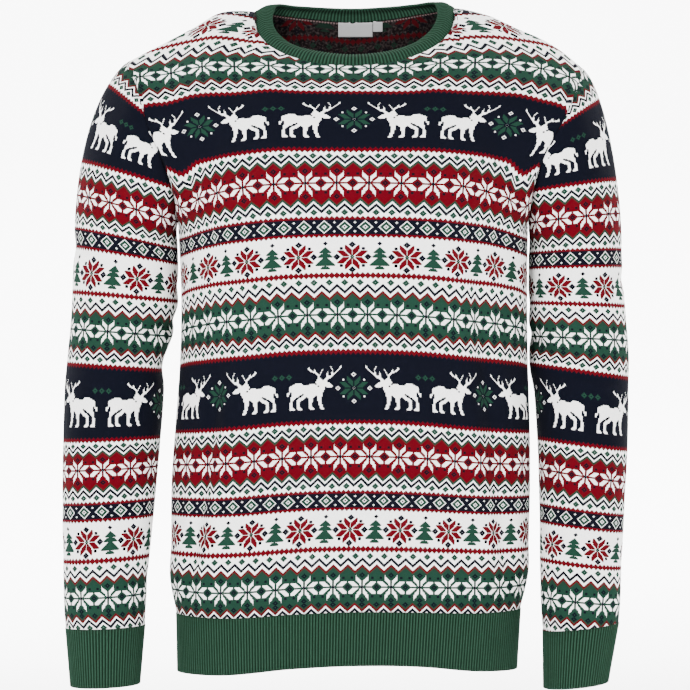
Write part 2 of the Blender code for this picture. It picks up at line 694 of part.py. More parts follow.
def make_label(name, place):
    """A small blank label that lies on the inside of the back, just under the neck seam."""
    columns = place["columns"]
    xs = np.linspace(place["left"], place["right"], columns + 1)
    zs = np.linspace(place["foot"], place["top"], 5)
    near, far = [], []
    for z in zs:
        cells = [back_inside(x, z) for x in xs]
        far.append([point - LABEL_GAP * way for point, way in cells])
        near.append([point - (LABEL_GAP + LABEL_WALL) * way for point, way in cells])
    make_solid(name, np.array(near), np.array(far), False, "label")


# ---------------------------------------------------------------- the jumper
for old in list(bpy.data.objects):
    bpy.data.objects.remove(old, do_unlink=True)

COLLECTION = bpy.data.collections.new("jumper")
bpy.context.scene.collection.children.link(COLLECTION)
JUMPER = bpy.data.objects.new("jumper_frame", None)
COLLECTION.objects.link(JUMPER)

PANELS = {face: panel_sheet(face) for face in ("front", "back")}
# both panels end in one shared line at the sides, the shoulders and the armpits
FRONT, BACK = PANELS["front"][1], PANELS["back"][1]
for side_edge in (0, -1):
    side_seam = (FRONT[:BODY_ROWS + 1, side_edge] + BACK[:BODY_ROWS + 1, side_edge]) / 2
    FRONT[:BODY_ROWS + 1, side_edge] = side_seam
    BACK[:BODY_ROWS + 1, side_edge] = side_seam

INSIDES = {face: make_panel(face) for face in ("front", "back")}
for arm_side in ("left", "right"):
    make_cuff(arm_side, make_sleeve(arm_side))
make_hem()
make_collar()
for label_name, label_place in LABELS.items():
    make_label(label_name, label_place)
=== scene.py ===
"""Looks for a man's Fair Isle jumper that is worn and hollow, with nobody in it.

Sizes in the tables are millimetres; the meshes are metres.  The front faces -Y, +X is
on the viewer's right and +Z is up.  Every knitted piece is a fine sheet on the form of
its solid, with a wall behind it.  Its UV map, "stitches", counts stitches across and
rows down, and the colour pattern is charted on that count.
"""
from functools import partialmethod

import bpy
import numpy as np
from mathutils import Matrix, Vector


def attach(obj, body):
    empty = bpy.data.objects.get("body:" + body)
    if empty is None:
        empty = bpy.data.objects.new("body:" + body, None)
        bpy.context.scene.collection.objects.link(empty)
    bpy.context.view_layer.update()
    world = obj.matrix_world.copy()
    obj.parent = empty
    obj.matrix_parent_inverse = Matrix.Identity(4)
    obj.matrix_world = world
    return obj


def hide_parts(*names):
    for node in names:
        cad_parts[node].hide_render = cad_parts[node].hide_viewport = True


# ---------------------------------------------------------------- sizes of the solids
MM = 0.001
TINY = 1e-9
SIDES = ("left", "right")
FACES = ("front", "back")
# which way a side lies from the middle along x, and a face along y
WAY = {"left": -1, "right": 1, "front": -1, "back": 1}

WALL = 2.2
RIB_WALL = 2.4
COLLAR_WALL = 3.0
SEAM_GAP = 0.3
HALF_GAP = SEAM_GAP / 2
ROUNDNESS = 2.3

ARMPIT_Z = -232.0
NECK_SHARE = 0.72
NECK_COLUMNS = 8
SHOULDER_COLUMNS = 6
BODY_ROWS = 11
YOKE_ROWS = 12
YOKE_LEAN = 2.2
YOKE_EDGE = 6
FULLNESS = {"front": 0.0, "back": 1.0}
EASE_ROUNDS = {"front": 0, "back": 6}
EASE_REACH = 0.2
EASE_RISE = (0.15, 0.5)
CHEST_TAPER = 2.2
CHEST_RISE = 2           # how many times faster than the yoke the open chest comes in

ARMHOLE_SCOOP = 52.0
SCOOP_REACH = 3
SCOOP_ROUND = 2.0
ARMHOLE_ROUND = 0.6
SCOOP_EDGE = 8

SLEEVE_CAP_ROWS = 6
SLEEVE_ROWS = 13
CAP_LEAVE = {"left": 0.85, "right": 0.5}
CAP_START = {"out": (0.15, 0.72), "down": (0.95, 0.66), "forward": 0.25}

RIB_OUT = 0.7
RIB_IN = -0.5
RIB_CREST = 0.6          # under 1 the crests are broader than the furrows
RIB_INSIDE = 0.35        # how much of the relief the inner side has
RIB_ROW = 1.3            # the height of a row of stitches
RIBS = {"collar": 156, "hem": 286, "cuff": 78}
BAND_LINES = {"collar": 9, "hem": 9, "cuff": 10}

LABEL_WALL = 1.0
LABEL_GAP = 0.5
LABEL_LINES = 13
LABEL_REACH = 40         # columns either side of the back's middle that a label may lie on

# how many times finer than the solids the sheets are
FINE_ACROSS = 6
FINE_BODY = 8
FINE_YOKE = 6
FINE_CAP = 5
FINE_SLEEVE = 8
FINE_COLLAR = 8
RIB_POINTS = 6
ARMPIT_ROW = BODY_ROWS * FINE_BODY      # the fine row at the armpits


def table(names, rows):
    """Rows with named columns, kept as one array for each name."""
    return dict(zip(names.split(), np.array(rows, float).T))


BODY = table("z left right front back", [
    (-712, -187.5, 175.0, 77, 76),
    (-690, -188.5, 176.0, 78, 77),
    (-662, -189.0, 177.5, 79, 78),
    (-650, -188.8, 177.5, 81, 80),
    (-634, -193.5, 183.5, 84, 83),
    (-572, -194.5, 188.0, 85, 84),
    (-508, -194.0, 189.5, 88, 86),
    (-444, -189.5, 189.0, 96, 91),
    (-380, -185.0, 187.0, 109, 97),
    (-300, -184.0, 186.5, 122, 102),
    (-232, -187.0, 187.0, 125, 104),
    (-180, -187.0, 186.5, 125, 104),
])

HEM = table("across seam_z foot_z", [
    (-1.00, -649.5, -711.0),
    (-0.75, -651.0, -710.5),
    (-0.30, -645.0, -701.5),
    (0.00, -642.5, -698.5),
    (0.45, -643.5, -700.0),
    (0.75, -645.5, -706.0),
    (1.00, -644.5, -708.0),
])

RIDGE = {
    "left": table("out y z", [(105.5, 30, -4), (121, 28, -0.5), (140, 26, -4.5), (162, 24, -16.5),
                              (189, 21, -31.5), (215, 18, -45), (245, 15, -61)]),
    "right": table("out y z", [(109.5, 30, 0), (121, 28, 0.5), (140, 26, -6), (162, 24, -16),
                               (189, 21, -28.5), (215, 18, -41), (247.5, 15, -67)]),
}

ARMHOLE = table("height left right", [
    (0, 187, 187), (0.15, 190, 190), (0.33, 199, 197), (0.5, 211, 209), (0.68, 222, 226),
    (0.85, 231, 238), (1, 244.5, 247.5),
])

# The rings of the sleeves, counted down from the armpit.
SLEEVE_RINGS = table("down z middle_y deep_left outer_left inner_left slope_left"
                     " deep_right outer_right inner_right slope_right", [
    (0, -262, 12, 57, 299.0, 187.8, -0.16, 55, 288.5, 188.8, -0.06),
    (1, -300, 14, 56, 301.0, 187.2, -0.10, 55, 290.5, 188.6, -0.05),
    (2, -340, 16, 54, 303.0, 190.5, -0.07, 54, 293.5, 188.8, -0.08),
    (3, -380, 16, 52, 307.0, 204.5, -0.05, 52, 296.5, 190.0, -0.12),
    (4, -412, 13, 52, 309.5, 203.0, -0.02, 52, 296.0, 195.0, -0.12),
    (5, -476, 3, 50, 310.5, 207.0, 0.03, 50, 294.0, 198.0, -0.11),
    (6, -540, -10, 47, 310.0, 212.0, 0.05, 47, 289.5, 199.0, -0.09),
    (7, -604, -24, 44, 307.5, 217.5, 0.05, 44, 285.0, 198.5, -0.10),
    (8, -640, -31, 43, 306.0, 219.5, 0.04, 43, 283.0, 199.5, -0.11),
    (9, -661, -34, 41, 304.0, 220.5, 0.04, 41, 281.0, 201.0, -0.11),
])

CUFF = {
    side: {"z": -722, "outer": outer, "inner": inner, "deep": 36, "middle_y": -38, "slope": slope}
    for side, outer, inner, slope in (("left", 298.5, 225.5, 0.04), ("right", 269.5, 201.5, -0.10))
}

NECK = table("round left right y z_left z_right"
             " edge_left edge_right edge_y edge_z_left edge_z_right", [
    (-1.25, -39, -41, 69, -7.5, -7, -34, -35, 61.5, 5, 5.5),
    (-1.00, 0, 0, 72, -10, -10, 0, 0, 63.5, 4, 4),
    (-0.75, 39, 41, 69, -7.5, -7, 34, 35, 61.5, 5, 5.5),
    (-0.50, 73, 76, 61, -4.5, -2, 62, 65, 55, 6, 7.5),
    (-0.25, 96, 101, 48, -2.5, 1, 79, 84, 45, 6.5, 8.5),
    (0.00, 105.5, 109.5, 30, -4, 0, 84, 89.5, 31, 0.5, 3.5),
    (0.17, 105, 109, 14, -12, -10.5, 86, 90.5, 12, -12.5, -9),
    (0.33, 103.5, 106.5, 0, -23.5, -22.5, 84, 86, -3, -23.5, -22),
    (0.50, 97, 98, -18, -37.5, -36.5, 77, 76, -15, -34, -34),
    (0.67, 80, 80, -35, -52, -51, 62, 60, -28, -45.5, -45),
    (0.83, 47, 46, -52, -65.5, -65, 36, 35, -40, -53, -53),
    (1.00, 0, 0, -60, -70, -70, 0, 0, -46, -57, -57),
    (1.17, -47, -46, -52, -65.5, -65, -36, -35, -40, -53, -53),
])
COLLAR_BULGE = 2.5
COLLAR_CREST = 0.55
COLLAR_END = 1.2         # room for the rounded edge
COLLAR_LEAN = 0.5

NECK_WALL = {"half_width": 105, "half_depth": 75, "centre_y": 12,
             "lean_side": 0.62, "lean_front": 0.64, "up": 0.78}

YOKE = table("reach bend_front bend_back round_front round_back", [
    (0.00, 3.00, 2.2, 1.00, 1.00),
    (0.37, 3.00, 2.2, 1.00, 1.05),
    (0.50, 2.93, 2.3, 1.09, 1.45),
    (0.62, 2.80, 2.4, 1.25, 1.80),
    (0.74, 2.66, 2.5, 1.42, 2.10),
    (0.87, 2.60, 2.6, 1.50, 1.75),
    (1.00, 2.60, 2.6, 1.50, 1.50),
])

# ---------------------------------------------------------------- folds and creases
FOLD_HEAD = (0.15, 0.35)
FOLD_FOOT = (0.12, 0.30)
# how many of the solids' rows the folds and creases take to fade in from a seam
HEM_FADE = 1.5
CAP_FADE = 3
CUFF_FADE = 1.5
SIDE_FADE = 12           # the power with which folds fade at the side seams
FOLDS = {
    "front": table("x_top z_top x_foot z_foot width depth", [
        (-138, -385, -177, -625, 9, 6.0),
        (-126, -400, -158, -630, 11, -3.5),
        (129, -285, 169, -638, 10, 5.5),
        (112, -330, 146, -640, 12, -3.0),
        (-158, -238, -118, -330, 11, 3.0),
        (160, -240, 128, -320, 10, 2.5),
        (-178, -200, -140, -150, 10, 4.0),
        (180, -205, 146, -150, 10, 4.0),
        (-168, -420, -186, -560, 7, 2.0),
        (152, -300, 178, -420, 7, 2.2),
        (-150, -610, -118, -640, 9, 2.0),
        (-60, -590, -48, -638, 14, -1.2),
        (40, -560, 60, -636, 16, 1.2),
        (-95, -470, -110, -600, 16, 1.6),
        (90, -480, 108, -610, 16, 1.4),
    ]),
    "back": table("x_top z_top x_foot z_foot width depth", [
        (-131, -330, -168, -615, 11, 5.5),
        (-112, -380, -141, -625, 12, -3.5),
        (140, -360, 172, -628, 10, 5.0),
        (118, -350, 150, -600, 13, -3.0),
        (-22, -420, 10, -640, 16, 2.5),
        (-160, -215, -96, -300, 12, 4.0),
        (158, -220, 102, -290, 11, 3.5),
        (4, -330, -30, -470, 18, -2.0),
        (60, -430, 84, -600, 15, 2.0),
        (-80, -440, -66, -590, 14, -1.5),
    ]),
}

CREASES = {
    "left": table("turn z reach width slant depth", [
        (120, -262, 55, 9, 0.35, 4.5),
        (35, -268, 45, 10, -0.30, 3.0),
        (150, -348, 50, 10, 0.30, 5.0),
        (95, -372, 45, 11, 0.25, 3.0),
        (250, -350, 60, 11, -0.25, 4.5),
        (215, -290, 45, 10, 0.30, 3.5),
        (70, -560, 55, 13, 0.30, 2.5),
        (285, -520, 60, 14, -0.20, 3.0),
        (130, -618, 55, 9, 0.15, 2.0),
    ]),
    "right": table("turn z reach width slant depth", [
        (125, -270, 50, 9, 0.30, 4.0),
        (30, -300, 45, 10, -0.25, 3.0),
        (150, -365, 50, 10, 0.35, 5.0),
        (85, -395, 50, 12, 0.20, 3.0),
        (245, -340, 60, 11, -0.30, 4.5),
        (300, -285, 45, 10, 0.25, 3.5),
        (75, -575, 55, 13, 0.25, 2.5),
        (275, -500, 60, 14, -0.25, 3.0),
        (120, -625, 55, 9, 0.20, 2.0),
    ]),
}

# ---------------------------------------------------------------- the knitter's count
# The row of the pattern at each height of a panel's middle line; above the armpits the
# height is measured along the cloth.  Row 0 is the middle of a red star band.
BODY_COUNT = table("height row", [
    (-440.0, 407.5), (-410.6, 382.5), (-383.8, 359), (-344.3, 325), (-322.7, 308), (-293.6, 282),
    (-247.6, 243), (-211.5, 212), (-176.3, 181), (-138.5, 149), (-100.2, 116), (-60.1, 82),
    (-39.8, 65), (-10.2, 39), (0, 30.2), (35.1, 0), (69.8, -31), (103.8, -62), (138.2, -94),
    (174.9, -127), (197, -147), (210, -155.5), (219, -161.5), (240.5, -177), (262, -196),
    (281, -210), (340, -250),
])
BACK_RISE = 1.078        # the rows of the back lie closer above the armpits
# How wide a stitch is at each row.
BODY_STITCH = table("row wide", [
    (-240, 1.50), (-127, 1.50), (-94, 1.47), (-62, 1.43), (0, 1.357), (39, 1.342), (65, 1.327),
    (116, 1.27), (181, 1.266), (243, 1.268), (282, 1.245), (359, 1.26), (410, 1.26),
])
# How far the rows droop towards the sides, from the middle (0) to the side seam (1).
DROOP_PLACES = {"middle": 0.0, "beside": 0.2, "near": 0.4, "half": 0.6, "far": 0.85,
                "edge": 0.96, "side": 1.0}
DROOP_COLUMNS = " ".join(["height", *DROOP_PLACES])
DROOP = {
    "left": table(DROOP_COLUMNS, [
        (-440, 0, 1.0, 3.9, 7.3, 8.5, 7.5, 7.0),
        (-410, 0, 1.0, 3.9, 7.3, 8.5, 7.5, 7.0),
        (-214, 0, 0.7, 2.9, 6.9, 10.8, 12.3, 13.0),
        (-30, 0, 0.4, 1.7, 4.8, 11.5, 17.5, 19.0),
        (0, 0, 0.35, 1.5, 4.5, 12.5, 18.5, 16.0),
        (24, 0, 0.3, 1.1, 3.6, 13.3, 19.3, 6.0),
        (40, 0, 0.1, 0.6, 2.9, 12.6, 18.6, 3.5),
        (68, 0, -0.6, -1.4, 0.9, 7.6, 12.5, -0.5),
        (103, 0, -1.2, -1.8, 1.0, 5.6, 8.8, -1.5),
        (138, 0, -2.6, -2.4, 1.5, 4.3, 6.0, -3.5),
        (174, 0, -5.0, -3.4, 3.6, 2.6, 1.0, -8.0),
        (212, 0, -5.5, -3.5, 7.3, 1.5, -1.5, -10.0),
        (340, 0, -5.5, -3.5, 7.3, 1.5, -1.5, -10.0),
    ]),
    "right": table(DROOP_COLUMNS, [
        (-440, 0, 0.3, 1.0, 1.8, 3.0, 2.2, 2.0),
        (-410, 0, 0.3, 1.0, 1.8, 3.0, 2.2, 2.0),
        (-214, 0, 0.7, 2.9, 6.9, 10.8, 12.3, 13.0),
        (-30, 0, 0.4, 1.7, 4.6, 11.0, 17.0, 19.0),
        (0, 0, 0.35, 1.4, 4.0, 11.8, 18.0, 16.0),
        (24, 0, 0.3, 1.0, 2.6, 12.6, 18.8, 4.0),
        (40, 0, 0.1, 0.6, 1.9, 11.8, 18.0, 0.5),
        (68, 0, -0.5, -1.0, 0.6, 6.2, 11.0, -4.0),
        (103, 0, -1.0, -1.6, 0.6, 3.8, 7.0, -2.0),
        (138, 0, -1.6, -2.0, 1.2, 2.9, 3.5, -2.0),
        (174, 0, -6.0, -6.6, -0.4, -2.4, -4.0, -7.0),
        (212, 0, -6.0, -8.0, 4.5, -1.0, -4.0, -8.0),
        (340, 0, -6.0, -8.0, 4.5, -1.0, -4.0, -8.0),
    ]),
}
# How many stitches are drawn into the folds, at places counted out from the middle.
DRAWN_PLACES = {"none": 0.0, "at60": 60.0, "at84": 84.0, "at108": 108.0, "at132": 132.0,
                "at156": 156.0}
DRAWN_COLUMNS = " ".join(["row", *DRAWN_PLACES])
DRAWN = {
    "left": table(DRAWN_COLUMNS, [
        (-220, 0, 0, -2.0, -2.4, -3.0, -1.7),
        (-127, 0, 0, -2.0, -2.4, -3.0, -1.7),
        (-62, 0, 0, 0, 0, 0, 0),
        (0, 0, -0.7, -2.0, -1.0, 4.8, 3.0),
        (39, 0, 1.2, 1.2, 3.0, 8.0, 9.0),
        (66, 0, 0, -0.2, 2.0, 6.0, 7.0),
        (116, 0, -1.2, -1.0, 0.9, 6.2, 9.6),
        (181, 0, 0, 0, -0.9, 3.2, 10.5),
        (243, 0, 0, 0, 0, 2.0, 5.0),
        (400, 0, 0, 0, 0, 0, 0),
    ]),
    "right": table(DRAWN_COLUMNS, [
        (-220, 0, -1.4, -3.2, -5.3, -7.0, -4.2),
        (-127, 0, -1.4, -3.2, -5.3, -7.0, -4.2),
        (-62, 0, 0, 0, 0, 0, 0),
        (0, 0, -2.0, -3.0, 0.8, 1.8, 1.0),
        (39, 0, 0, 0.3, 4.5, 6.5, 0),
        (66, 0, -0.8, -0.5, 4.0, 8.5, 5.0),
        (116, 0, 0, 0.3, 4.2, 7.5, 5.0),
        (181, 0, 0, 1.0, 4.5, 7.0, 5.0),
        (260, 0, 0, 0.5, 2.0, 3.0, 3.0),
        (400, 0, 0, 0, 0, 0, 0),
    ]),
}
# Where the middle of the pattern lies on a panel.
MIDDLE = table("z x", [
    (-700, -6.0), (-590, -5.4), (-480, 1.7), (-408, 0.6), (-330, -0.7), (-195, -0.6), (-131, 1.0),
    (-75, 0.2), (0, 0.2),
])

# The same for the sleeves: slope is how much the rows rise towards the outer side of
# the arm, and middle is where the arm's own middle lies.
SLEEVE_COUNT = {
    "left": table("z row slope middle", [
        (-700, 421, -0.04, 262), (-658.1, 385, -0.042, 262), (-628.4, 359, -0.055, 262),
        (-590.1, 325, -0.067, 262), (-568.8, 308, -0.066, 262), (-538.9, 282, -0.064, 261),
        (-495.4, 243, -0.050, 260), (-461.7, 210, -0.035, 258), (-426, 181, 0, 257),
        (-391, 152, 0.063, 254), (-350.6, 116, 0.075, 248), (-312, 82, 0.088, 245),
        (-290.8, 65, 0.12, 244), (-258.4, 39, 0.19, 243), (-220.6, 3, 0.26, 243),
        (-178.7, -33, 0.31, 243), (-142, -63, 0.48, 243), (-101, -94, 0.82, 243),
        (-82, -108, 0.90, 243), (-60, -124, 0.92, 243), (20, -184, 0.92, 243),
    ]),
    "right": table("z row slope middle", [
        (-700, 417, -0.118, 241), (-662.8, 385, -0.118, 241), (-633.7, 359, -0.087, 241),
        (-595.3, 325, -0.109, 242), (-576.7, 308, -0.115, 243), (-547.7, 282, -0.12, 244),
        (-502.8, 243, -0.155, 246), (-467.1, 210, -0.125, 246), (-431, 181, -0.138, 246),
        (-395.4, 152, -0.15, 244), (-356.7, 116, -0.045, 242), (-320.5, 82, -0.034, 240),
        (-301.1, 65, 0, 240), (-272, 39, 0.03, 239), (-228.4, 0, 0.11, 239),
        (-190.8, -33, 0.157, 239), (-156, -63, 0.36, 239), (-119, -94, 0.67, 239),
        (-104, -107, 0.90, 239), (-85, -122, 1.0, 239), (-60, -142, 1.0, 239), (20, -204, 1.0, 239),
    ]),
}
SLEEVE_STITCH = 1.24
COUNT_LEVELS = 400       # lines of equal level along which stitches are counted
LEVEL_ROUNDS = 8         # rounds that find a sleeve's levels

# The neck label and the size tab: their places on the inside of the back.
LABELS = {
    "neck_label": {"left": -16.0, "right": 21.5, "top": -10.5, "foot": -26.5, "columns": 24},
    "size_tab": {"left": 22.0, "right": 32.5, "top": -10.5, "foot": -21.0, "columns": 8},
}
# The sewing inside the neck: its ends round the neck, its place on the collar, its size.
NECK_SEWING = {"first": -0.98, "last": -0.06, "points": 160, "behind": 0.3, "below": 0.6,
               "thick": 0.55, "tall": 1.0, "corners": 8, "stitch": 3.2}


# ---------------------------------------------------------------- curves
def gap_at(knots, at):
    """The gap between knots that each place lies in, its width, and the share of it passed."""
    i = np.clip(np.searchsorted(knots, at) - 1, 0, len(knots) - 2)
    step = knots[i + 1] - knots[i]
    return i, step, (at - knots[i]) / step


def bridge(t, step, low, high, leave, arrive):
    """A smooth curve over one step, from its ends and from its slopes there."""
    return ((1 + 2 * t) * (1 - t) ** 2 * low + t * (1 - t) ** 2 * step * leave
            + t * t * (3 - 2 * t) * high + t * t * (t - 1) * step * arrive)


def follow(rows, at_name, name, at):
    """A smooth curve through a table's rows: the value of one column where another is `at`."""
    knots, values = rows[at_name], rows[name]
    slopes = np.gradient(values, knots)
    i, step, t = gap_at(knots, np.clip(at, knots[0], knots[-1]))
    return bridge(t, step, values[i], values[i + 1], slopes[i], slopes[i + 1])


def through(knots, values, at):
    """Smooth curves through rows of points, read at places between them."""
    slopes = np.gradient(values, knots, axis=0)
    i, step, t = gap_at(knots, at)
    return bridge(t[:, None, None], step[:, None, None],
                  values[i], values[i + 1], slopes[i], slopes[i + 1])


def follow_both(rows, at_name, at, places, out):
    """The same in two directions: along the rows, and across their columns at `out`."""
    values = np.array([follow(rows, at_name, name, at) for name in places])
    knots = np.array(list(places.values()))
    slopes = np.gradient(values, knots, axis=0)
    i, step, t = gap_at(knots, out)
    ends = (np.take_along_axis(grid, k[None], axis=0)[0]
            for grid in (values, slopes) for k in (i, i + 1))
    return bridge(np.clip(t, 0, 1), step, *ends)


def unit(vectors):
    return vectors / np.maximum(np.linalg.norm(vectors, axis=-1, keepdims=True), TINY)


def toward(ways, away):
    """Directions as they are, or all reversed if on the whole they point against `away`."""
    return -ways if np.sum(ways * away) < 0 else ways


def mix(a, b, share):
    return a + (b - a) * share


def smooth_step(t):
    t = np.clip(t, 0, 1)
    return t * t * (3 - 2 * t)


def way_along(points):
    """The distance along each row of points, from its first."""
    steps = np.linalg.norm(np.diff(points, axis=-2), axis=-1)
    start = np.zeros(steps.shape[:-1] + (1,))
    return np.concatenate([start, np.cumsum(steps, axis=-1)], axis=-1)


def turned(points):
    """The same sheet of points with its columns as rows."""
    return points.transpose(1, 0, 2)


def mirrored(*grids):
    """The same sheets with their columns in the other order."""
    return (grid[:, ::-1] for grid in grids)


def turns_round(count):
    """Angles at equal steps round a ring."""
    return 2 * np.pi * np.arange(count) / count


def divided(knots, parts):
    """Each gap between two knots cut into equal parts."""
    places = [np.linspace(a, b, n, endpoint=False)
              for a, b, n in zip(knots[:-1], knots[1:], parts)]
    return np.concatenate(places + [knots[-1:]])


def sheet_normals(points, closed):
    """Unit normals of a sheet of points, from the directions along its rows and columns."""
    if closed:
        around = np.roll(points, -1, axis=1) - np.roll(points, 1, axis=1)
    else:
        around = np.gradient(points, axis=1)
    along = np.gradient(points, axis=0)
    return unit(np.cross(around, along))


def on_loop(loop, shares):
    """Points at equal shares of the way round a closed line of straight stitches."""
    ends = np.vstack([loop, loop[:1]])
    way = np.concatenate([[0], np.cumsum(np.linalg.norm(np.diff(ends[:, :3], axis=0), axis=1))])
    return np.stack([np.interp(shares * way[-1], way, column) for column in ends.T], axis=1)


# ---------------------------------------------------------------- the panels' form
def column_places():
    """Where a panel's columns lie across it, from -1 at the left side to 1 at the right."""
    neck = NECK_SHARE * np.arange(NECK_COLUMNS + 1) / NECK_COLUMNS
    turn = np.arange(1, SHOULDER_COLUMNS + 1) / SHOULDER_COLUMNS
    half = np.concatenate([neck, NECK_SHARE + (1 - NECK_SHARE) * np.sin(turn * np.pi / 2)])
    return np.concatenate([-half[:0:-1], half])


def yoke_places():
    """Shares of the height from the armpits to the top edge, closest at both ends."""
    return (1 - np.cos(np.pi * np.arange(YOKE_ROWS + 1) / YOKE_ROWS)) / 2


def neck_point(place, side, edge=""):
    """A point of the neck seam, or with edge="edge_" of the collar's top edge above it."""
    out, y, z = (follow(NECK, "round", edge + name, place) for name in (side, "y", "z_" + side))
    return WAY[side] * out, y, z


def neck_line(places, edge=""):
    """The points of the neckline, or of an edge of the collar, at each side and place."""
    return np.array([neck_point(place, side, edge) for side, place in places])


def top_edge(across, face):
    """The panel's top edge: the shoulder seams, and the neckline between them."""
    points = np.zeros((len(across), 3))
    for k, place in enumerate(across):
        side = "left" if place < 0 else "right"
        if abs(place) >= NECK_SHARE - TINY:
            ridge = RIDGE[side]
            along = (abs(place) - NECK_SHARE) / (1 - NECK_SHARE)
            out = mix(ridge["out"][0], ridge["out"][-1], along)
            y, z = (follow(ridge, "out", name, out) for name in ("y", "z"))
            points[k] = (WAY[side] * out, y, z)
        else:
            points[k] = neck_point(-WAY[face] * (1 - abs(place) / NECK_SHARE), side)
    return points


def body_section(across, z, face):
    """A point of the body's tube below the armpits."""
    left, right, depth = (follow(BODY, "z", name, z) for name in (*SIDES, face))
    round_off = (1 - np.abs(across) ** ROUNDNESS) ** (1 / ROUNDNESS)
    return np.stack([mix(left, right, (across + 1) / 2), depth * WAY[face] * round_off, z],
                    axis=-1)


def yoke_row(across, height, top, face):
    """A row of the panel above the armpits, at one share of the way to the top edge."""
    start = body_section(across, np.full_like(across, ARMPIT_Z), face)
    reach = np.abs(across)
    hole = np.where(across < 0, *(WAY[side] * follow(ARMHOLE, "height", side, height)
                                  for side in SIDES))
    straight = mix(start[:, 0], top[:, 0], height ** YOKE_LEAN)
    edge = np.where(across < 0, straight[0], straight[-1])
    x = straight + reach ** YOKE_EDGE * (hole - edge)
    chest = follow(BODY, "z", face, ARMPIT_Z) * WAY[face]
    share = np.clip(x / np.where(x < 0, x[0], x[-1]), 0, 1)
    open_chest = chest * (1 - mix(reach, share, FULLNESS[face]) ** CHEST_TAPER)
    base = mix(start[:, 1], open_chest, smooth_step(height * CHEST_RISE))
    bend = follow(YOKE, "reach", "bend_" + face, reach)
    fall = (1 - height ** bend) ** (1 / follow(YOKE, "reach", "round_" + face, reach))
    bow = mix(SCOOP_ROUND, ARMHOLE_ROUND, reach ** SCOOP_EDGE)
    scoop = WAY[face] * ARMHOLE_SCOOP * np.sin(np.pi * np.clip(height, 0, 1)) ** bow
    y = top[:, 1] + (base - top[:, 1]) * fall + scoop * reach ** SCOOP_REACH
    z = mix(ARMPIT_Z, top[:, 2], height)
    return np.stack([x, y, z], axis=-1)


def ease_yoke(across, points, rounds):
    """Smooth the yoke's depth from column to column below the neck's corners."""
    low, high = EASE_RISE
    risen = smooth_step((yoke_places()[1:-1] - low) / (high - low))[:, None]
    near_corner = risen * np.exp(-((np.abs(across[1:-1]) - NECK_SHARE) / EASE_REACH) ** 2) / 2
    inside = points[BODY_ROWS + 1:-1]
    for _ in range(rounds):
        x, y = inside[:, :, 0], inside[:, :, 1]
        share = (x[:, 1:-1] - x[:, :-2]) / (x[:, 2:] - x[:, :-2])
        eased = mix(y[:, :-2], y[:, 2:], share)
        inside[:, 1:-1, 1] = mix(y[:, 1:-1], eased, near_corner)


def fold_depth(points, rows):
    """How far the folds press each point in."""
    depth = np.zeros(points.shape[:-1])
    for k in range(len(rows["depth"])):
        top, foot = (np.array([rows["x_" + end][k], rows["z_" + end][k]])
                     for end in ("top", "foot"))
        line = foot - top
        away = points[..., [0, 2]] - top
        along = (away @ line) / (line @ line)
        off = (away[..., 0] * line[1] - away[..., 1] * line[0]) / np.linalg.norm(line)
        fade = smooth_step((along + FOLD_HEAD[0]) / FOLD_HEAD[1])
        fade = fade * smooth_step((1 + FOLD_FOOT[0] - along) / FOLD_FOOT[1])
        depth += rows["depth"][k] * fade * np.exp(-(off / rows["width"][k]) ** 2)
    return depth


def panel_sheet(face):
    """The fine sheet of the front or the back, rows from the hem up, columns from the left."""
    across = column_places()
    top = top_edge(across, face)
    rows = []
    for share in np.arange(BODY_ROWS) / BODY_ROWS:
        z = mix(follow(HEM, "across", "seam_z", across), ARMPIT_Z, share)
        rows.append(body_section(across, z, face))
    for height in yoke_places():
        rows.append(yoke_row(across, height, top, face))
    points = np.array(rows)
    ease_yoke(across, points, EASE_ROUNDS[face])

    way_across = way_along(points).mean(axis=0)
    fine = divided(way_across, [FINE_ACROSS] * (len(across) - 1))
    across = np.interp(fine, way_across, across)
    points = turned(through(way_across, turned(points), fine))
    way_up = way_along(turned(points)).mean(axis=0)
    fine = divided(way_up, [FINE_BODY] * BODY_ROWS + [FINE_YOKE] * YOKE_ROWS)
    place = np.interp(fine, way_up, np.arange(len(way_up)))
    points = through(way_up, points, fine)

    depth = fold_depth(points, FOLDS[face]) * (1 - np.abs(across) ** SIDE_FADE)
    depth = depth * smooth_step(place / HEM_FADE)[:, None]
    points = points + WAY[face] * sheet_normals(points, False) * depth[..., None]
    return across, points, -WAY[face] * sheet_normals(points, False)


def count_across(points, level, middle):
    """The way across a sheet along lines of equal level, from its middle column."""
    columns = range(points.shape[1])
    levels = np.linspace(level.min(), level.max(), COUNT_LEVELS)
    lines = np.zeros((len(levels), len(columns), 3))
    for k in columns:
        order = np.argsort(level[:, k])
        for axis in range(3):
            lines[:, k, axis] = np.interp(levels, level[order, k], points[order, k, axis])
    way = way_along(lines)
    way -= way[:, middle:middle + 1]
    return np.stack([np.interp(level[:, k], levels, way[:, k]) for k in columns], axis=1)


def body_count(face):
    """The stitches across and the rows down at each point of a panel."""
    across, points, _ = PANELS[face]
    height = points[..., 2] - ARMPIT_Z
    rise = BACK_RISE if face == "back" else 1.0
    height[ARMPIT_ROW:] = way_along(turned(points[ARMPIT_ROW:])).T * rise
    out = np.broadcast_to(np.abs(across), height.shape)
    droop = (follow_both(DROOP[side], "height", height, DROOP_PLACES, out) for side in SIDES)
    level = height + np.where(across < 0, *droop)
    row = follow(BODY_COUNT, "height", "row", level)
    middle = len(across) // 2
    shift = follow(MIDDLE, "z", "x", points[:, middle, 2]) - points[:, middle, 0]
    stitch = count_across(points, level, middle) - shift[:, None]
    stitch = stitch / follow(BODY_STITCH, "row", "wide", row)
    drawn = (WAY[side] * follow_both(DRAWN[side], "row", row, DRAWN_PLACES, np.abs(stitch))
             for side in SIDES)
    return stitch + np.where(stitch < 0, *drawn), row


